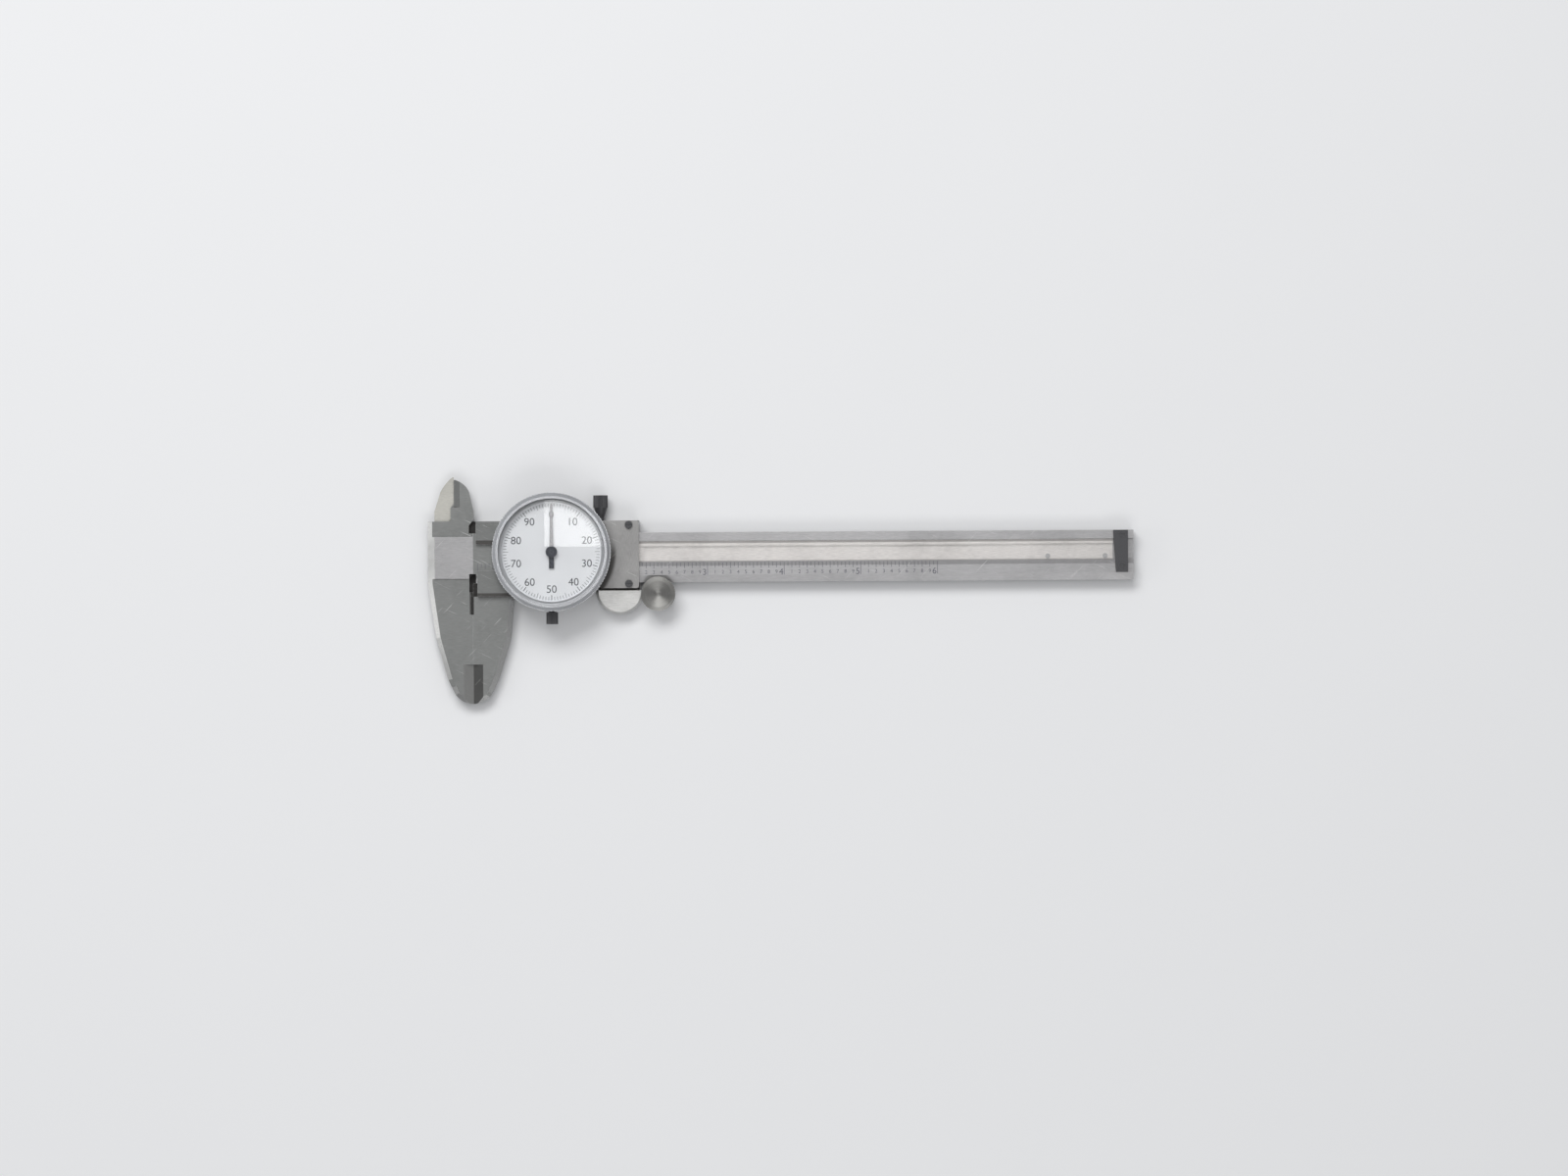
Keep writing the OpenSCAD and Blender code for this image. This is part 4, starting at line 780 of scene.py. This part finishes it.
def add_number(shape, words, centre, height, thickness):
    """Raised number in a bmesh, centred on a place."""
    curve = bpy.data.curves.new("number", "FONT")
    curve.body = words
    curve.size = 1.0
    curve.align_x = "CENTER"
    curve.align_y = "CENTER"
    curve.resolution_u = 6
    curve.extrude = 0.5
    holder = bpy.data.objects.new("number", curve)
    bpy.context.scene.collection.objects.link(holder)
    bpy.context.view_layer.update()
    evaluated = holder.evaluated_get(bpy.context.evaluated_depsgraph_get())
    data = bpy.data.meshes.new_from_object(evaluated)
    bpy.data.objects.remove(holder)
    bpy.data.curves.remove(curve)
    low = [min(v.co[i] for v in data.vertices) for i in range(3)]
    high = [max(v.co[i] for v in data.vertices) for i in range(3)]
    scale = height / (high[1] - low[1])
    middle = Vector([(a + b) / 2 for a, b in zip(low, high)])
    resize = Matrix.Diagonal((scale, scale, thickness, 1.0))
    data.transform(Matrix.Translation(centre) @ resize @ Matrix.Translation(-middle))
    shape.from_mesh(data)
    bpy.data.meshes.remove(data)


def on_dial(r, angle, level):
    """Place over the dial at a radius and at an angle from the top, clockwise."""
    return (DIAL_AXIS.x + r * math.sin(angle), DIAL_AXIS.y + r * math.cos(angle), level)


# Operators


class CALIPER_OT_effects(bpy.types.Operator):
    """Builds the node groups that the finishes share."""

    bl_idname = "caliper.effects"
    bl_label = "Shared effects"

    def execute(self, context):
        group_brushed()
        group_turned()
        group_edges()
        group_grime()
        group_marks()
        group_scratches()
        group_tone()
        return {"FINISHED"}


class CALIPER_OT_beam(bpy.types.Operator):
    """Finishes the beam with its fixed jaw, rack, depth rod and end stop."""

    bl_idname = "caliper.beam"
    bl_label = "Beam"

    def execute(self, context):
        tones = context.scene.caliper_finish
        # The beam takes painted shade from its own ambient occlusion and from the patches below
        ground = metal(
            "ground_steel", tones.ground_steel, 0.34, grime="Own Painted Corner Shade",
            patches=[
                # Bevels and knife edges, picked by the way they face, take a painted highlight
                (jaw_mask, tones.satin_steel, 0.46),
                (left_lean_mask, tones.bevel_steel, 0.3),
                (right_lean_mask, tones.knife_steel, 0.4),
                (notch_mask, tones.grime, 0.6),
                (groove_edge_mask, scaled(tones.ground_steel, 0.72), 0.45),
                (film_mask, tones.satin_steel, 0.46),
                (slot_edge_mask, tones.grime, 0.5),
                (tip_mask, scaled(tones.bevel_steel, 0.8), 0.3),
            ],
        )
        dress(ground, "beam")
        drawn = metal(
            "rack_steel", tones.rack_steel, 0.36, line_depth=0.3,
            # Painted shade along the rack's edges, against the groove's walls
            patches=[(rack_edge_mask, scaled(tones.rack_steel, 0.55), 0.5)],
        )
        dress(drawn, "rack")
        dress(metal("rod_steel", tones.ground_steel, 0.38), "depth_rod")
        dress(black_oxide("stop_black", tones.black_oxide), "end_stop", "end_stop_screws")
        return {"FINISHED"}


class CALIPER_OT_slide(bpy.types.Operator):
    """Finishes the slide with its moving jaw, its plates, its gib and the thumb rest."""

    bl_idname = "caliper.slide"
    bl_label = "Slide"

    def execute(self, context):
        tones = context.scene.caliper_finish
        # The slide takes painted shade from ambient occlusion and from the patches below
        satin = metal(
            "satin_steel", tones.satin_steel, 0.46, stretch=(700.0, 7000.0, 7000.0),
            line_depth=0.2, grime="Painted Corner Shade",
            patches=[
                # The outer bevel takes a painted highlight and the knife edge painted shade at 0.3
                (nib_mask, tones.nib_steel, 0.38),
                (right_lean_mask, tones.bevel_steel, 0.3),
                (left_lean_mask, scaled(tones.knife_steel, 0.3), 0.4),
                (arm_mask, tones.grime, 0.6),
                (bar_mask, scaled(tones.satin_steel, 0.86), 0.46),
                (bar_edge_mask, scaled(tones.grime, 1.6), 0.5),
                (notch_mask, tones.grime, 0.6),
                (tip_mask, scaled(tones.bevel_steel, 0.8), 0.3),
            ],
        )
        dress(satin, "slide")
        # The plates take painted shade from ambient occlusion and the dial's painted shadow
        plate = metal(
            "plate_steel", tones.plate_steel, 0.44, stretch=(7000.0, 600.0, 7000.0),
            line_depth=0.2, grime="Painted Corner Shade", reach=5.0 * MM,
            patches=[(foot_mask, scaled(tones.grime, 1.8), 0.5)],
        )
        dress(plate, "dial_plate", "back_plate")
        bright = metal("rest_steel", tones.bright_steel, 0.30, stretch=(500.0, 6000.0, 6000.0))
        dress(bright, "thumb_rest")
        dress(metal("gib_brass", tones.brass, 0.36, worn=WORN_BRASS), "gib")
        return {"FINISHED"}


class CALIPER_OT_screws(bpy.types.Operator):
    """Finishes the black screws, the bright ones that hold the plates, and the brass shoes."""

    bl_idname = "caliper.screws"
    bl_label = "Screws"

    def execute(self, context):
        tones = context.scene.caliper_finish
        black = black_oxide("screw_black", tones.black_oxide)
        dress(black, "plate_screws", "lock_screw", "clamp_screw")
        bright = metal("screw_steel", tones.ground_steel, 0.3, stretch=(2500.0, 9000.0, 9000.0))
        dress(
            bright, "rack_screws", "back_plate_screws", "gib_screws", "depth_rod_screw",
            "thumb_rest_screws", "case_screws", "bridge_screws",
        )
        brass = metal("shoe_brass", tones.brass, 0.36, worn=WORN_BRASS)
        dress(brass, "lock_shoe", "clamp_shoe")
        return {"FINISHED"}


class CALIPER_OT_dial(bpy.types.Operator):
    """Finishes the case, bezel, crystal, dial face and pointer."""

    bl_idname = "caliper.dial"
    bl_label = "Dial"

    def execute(self, context):
        tones = context.scene.caliper_finish
        chrome = metal(
            "satin_chrome", tones.chrome, 0.27, centre=DIAL_AXIS, line_depth=0.16, wear=0.3
        )
        dress(chrome, "bezel", "dial_case")
        ring = metal("ring_steel", tones.chrome, 0.4, centre=DIAL_AXIS, line_depth=0.2)
        dress(ring, "dial_ring", "bezel_snap_ring")
        dress(enamel("dial_enamel", tones.dial_white), "dial_face")
        dress(glass("clear_crystal"), "crystal")
        needle = metal(
            "pointer_paint", tones.needle, 0.42, patches=[(tail_mask, tones.ink, 0.4)], wear=0.2
        )
        dress(needle, "pointer", "pointer_hub")
        return {"FINISHED"}


class CALIPER_OT_movement(bpy.types.Operator):
    """Finishes the gear train, its bridge and the hairspring."""

    bl_idname = "caliper.movement"
    bl_label = "Movement"

    def execute(self, context):
        tones = context.scene.caliper_finish
        brass = metal(
            "train_brass", tones.brass, 0.33, stretch=(900.0, 8000.0, 8000.0), worn=WORN_BRASS
        )
        dress(
            brass, "bridge", "bridge_pillars", "arbor_bushes", "hairspring_stud", "drive_wheel",
            "take_up_wheel",
        )
        arbor = metal("arbor_steel", tones.ground_steel, 0.25, stretch=ALONG_ARBOR)
        dress(arbor, "drive_arbor", "take_up_arbor", "hairspring")
        post = metal(
            "post_steel", tones.ground_steel, 0.25, stretch=ALONG_ARBOR, wear=0.1,
            patches=[(post_mask, tones.ink, 0.45)],
        )
        dress(post, "centre_arbor")
        return {"FINISHED"}


class CALIPER_OT_roller(bpy.types.Operator):
    """Finishes the turned thumb roller and its axle."""

    bl_idname = "caliper.roller"
    bl_label = "Thumb roller"

    def execute(self, context):
        tones = context.scene.caliper_finish
        turned = metal(
            "turned_steel", tones.turned_steel, 0.3, centre=ROLLER_AXIS, density=7000.0,
            line_depth=0.3, anisotropic=0.8,
        )
        dress(turned, "roller_wheel", "roller_axle")
        return {"FINISHED"}


class CALIPER_OT_beam_scale(bpy.types.Operator):
    """Etches the inch scale along the beam."""

    bl_idname = "caliper.beam_scale"
    bl_label = "Beam scale"

    def execute(self, context):
        sizes = context.scene.caliper_print
        etched = ink("scale_etch", context.scene.caliper_finish.etch, 0.5)
        level = BEAM_HIGH.z + sizes.film / 2
        lines, numbers = bmesh.new(), bmesh.new()
        for step in range(sizes.beam_inches * LINES_PER_INCH + 1):
            x = READING_X + step * INCH / LINES_PER_INCH
            inch, rest = divmod(step, LINES_PER_INCH)
            tenth, half = divmod(rest, LINES_PER_TENTH)
            length = sizes.scale_tick_len if half else sizes.tenth_tick_len
            if rest == 0:
                length = sizes.inch_tick_len
            centre = (x, SCALE_TOP_Y - length / 2, level)
            add_bar(lines, centre, (sizes.scale_tick_w, length, sizes.film))
            if rest == 0 and inch > 0:
                centre = (x - INCH_NUMBER_SHIFT, SCALE_ROW_Y, level)
                height = sizes.scale_number_h * INCH_NUMBER_SIZE
                add_number(numbers, str(inch), centre, height, sizes.film)
            elif rest > 0 and half == 0:
                centre = (x, SCALE_ROW_Y, level)
                height = sizes.scale_number_h * TENTH_NUMBER_SIZE
                add_number(numbers, str(tenth), centre, height, sizes.film)
        add_piece("beam_scale_lines", lines, etched, "beam")
        add_piece("beam_scale_numbers", numbers, etched, "beam")
        return {"FINISHED"}


class CALIPER_OT_dial_print(bpy.types.Operator):
    """Prints the divisions and the numbers on the dial face."""

    bl_idname = "caliper.dial_print"
    bl_label = "Dial printing"

    def execute(self, context):
        sizes = context.scene.caliper_print
        printed = ink("dial_ink", context.scene.caliper_finish.ink, 0.5)
        level = FACE_HIGH.z + sizes.film / 2
        lines, numbers = bmesh.new(), bmesh.new()
        for step in range(sizes.dial_divisions):
            angle = 2 * math.pi * step / sizes.dial_divisions
            numbered = step % NUMBER_EVERY == 0
            length = sizes.tick_len if step % LONG_EVERY else sizes.long_tick_len
            width = sizes.tick_w * (BOLD if numbered else 1.0)
            centre = on_dial(DIVISIONS_R - length / 2, angle, level)
            add_bar(lines, centre, (width, length, sizes.film), -angle)
            if numbered:
                centre = on_dial(sizes.number_r, angle, level)
                add_number(numbers, str(step), centre, sizes.number_h, sizes.film)
        add_piece("dial_divisions", lines, printed, "bezel")
        add_piece("dial_numbers", numbers, printed, "bezel")
        return {"FINISHED"}


class CALIPER_OT_stage(bpy.types.Operator):
    """Adds the floor, the lamps, the room's even light and the camera."""

    bl_idname = "caliper.stage"
    bl_label = "Studio and camera"

    def execute(self, context):
        setup = context.scene.caliper_stage
        self.add_floor(context, setup)
        aim = Vector(setup.aim)
        spot = Vector(TOP_LAMP_SPOT)
        for name, at, offset, size, power in (
            ("key_lamp", aim, (-0.35, 0.95, 1.25), (1.1, 0.6), setup.key),
            ("fill_lamp", aim, (0.15, -0.95, 1.30), (1.4, 0.6), setup.fill),
            ("left_lamp", aim, (-1.6, -0.1, 0.90), (0.6, 0.4), setup.left),
            ("top_lamp", spot, (0.0, 0.0, 2.6), (0.355, 1.2), setup.top),
        ):
            self.add_lamp(context, name, at + Vector(offset), at, size, power)
        self.add_world(context, setup)
        self.add_camera(context, setup, aim)
        context.scene.view_settings.view_transform = "Standard"
        return {"FINISHED"}

    def add_floor(self, context, setup):
        """Wide sheet of pale paper under the part."""
        made, tree, shader, place = new_material("floor_paper")
        mottle = noise(tree, place, 12.0, 4.0)
        low = scaled(setup.floor, 0.985)
        paper = blend(tree, mottle, opaque(low), opaque(setup.floor))
        feed(tree, paper, shader.inputs["Base Color"])
        shader.inputs["Roughness"].default_value = 0.9
        lay_out(tree)
        shape = bmesh.new()
        bmesh.ops.create_grid(shape, x_segments=1, y_segments=1, size=FLOOR_REACH)
        data = bpy.data.meshes.new("floor")
        shape.to_mesh(data)
        shape.free()
        data.materials.append(made)
        floor = bpy.data.objects.new("floor", data)
        context.scene.collection.objects.link(floor)

    def add_lamp(self, context, name, place, aim, size, power):
        """Soft rectangular lamp that points at a place."""
        data = bpy.data.lights.new(name, "AREA")
        data.shape = "RECTANGLE"
        data.size, data.size_y = size
        data.energy = power
        lamp = bpy.data.objects.new(name, data)
        lamp.location = place
        lamp.rotation_euler = (aim - place).to_track_quat("-Z", "Y").to_euler()
        context.scene.collection.objects.link(lamp)

    def add_world(self, context, setup):
        """Even light of the room."""
        world = bpy.data.worlds.new("studio")
        world.use_nodes = True
        room = world.node_tree.nodes["Background"]
        room.inputs["Color"].default_value = opaque(ROOM_TINT)
        room.inputs["Strength"].default_value = setup.world
        context.scene.world = world

    def add_camera(self, context, setup, aim):
        """Camera that looks straight down."""
        data = bpy.data.cameras.new("camera")
        data.lens = data.sensor_width * setup.camera_h / setup.view_w
        data.clip_end = 20.0
        camera = bpy.data.objects.new("camera", data)
        camera.location = aim + Vector((0.0, 0.0, setup.camera_h))
        camera.rotation_euler = (0.0, 0.0, setup.camera_roll)
        context.scene.collection.objects.link(camera)
        context.scene.camera = camera


OPERATORS = (
    CALIPER_OT_effects,
    CALIPER_OT_beam,
    CALIPER_OT_slide,
    CALIPER_OT_screws,
    CALIPER_OT_dial,
    CALIPER_OT_movement,
    CALIPER_OT_roller,
    CALIPER_OT_beam_scale,
    CALIPER_OT_dial_print,
    CALIPER_OT_stage,
)


class CALIPER_PT_panel(bpy.types.Panel):
    """Sidebar panel with the steps in order and what a user may change."""

    bl_idname = "CALIPER_PT_panel"
    bl_label = "Dial caliper"
    bl_space_type = "VIEW_3D"
    bl_region_type = "UI"
    bl_category = "Caliper"

    def draw(self, context):
        for step in OPERATORS:
            self.layout.operator(step.bl_idname)
        scene = context.scene
        for group in (scene.caliper_finish, scene.caliper_print, scene.caliper_stage):
            box = self.layout.box()
            for name in group.__annotations__:
                box.prop(group, name)


CLASSES = (CaliperFinish, CaliperPrint, CaliperStage, *OPERATORS, CALIPER_PT_panel)


def register():
    """Registers the classes and hangs their settings on the scene."""
    for item in CLASSES:
        bpy.utils.register_class(item)
    bpy.types.Scene.caliper_finish = PointerProperty(type=CaliperFinish)
    bpy.types.Scene.caliper_print = PointerProperty(type=CaliperPrint)
    bpy.types.Scene.caliper_stage = PointerProperty(type=CaliperStage)


def unregister():
    """Takes the settings and the classes off again."""
    del bpy.types.Scene.caliper_stage
    del bpy.types.Scene.caliper_print
    del bpy.types.Scene.caliper_finish
    for item in reversed(CLASSES):
        bpy.utils.unregister_class(item)


def main():
    """Runs every step in order."""
    register()
    bpy.ops.caliper.effects()
    bpy.ops.caliper.beam()
    bpy.ops.caliper.slide()
    bpy.ops.caliper.screws()
    bpy.ops.caliper.dial()
    bpy.ops.caliper.movement()
    bpy.ops.caliper.roller()
    bpy.ops.caliper.beam_scale()
    bpy.ops.caliper.dial_print()
    bpy.ops.caliper.stage()


if __name__ == "__main__":
    main()
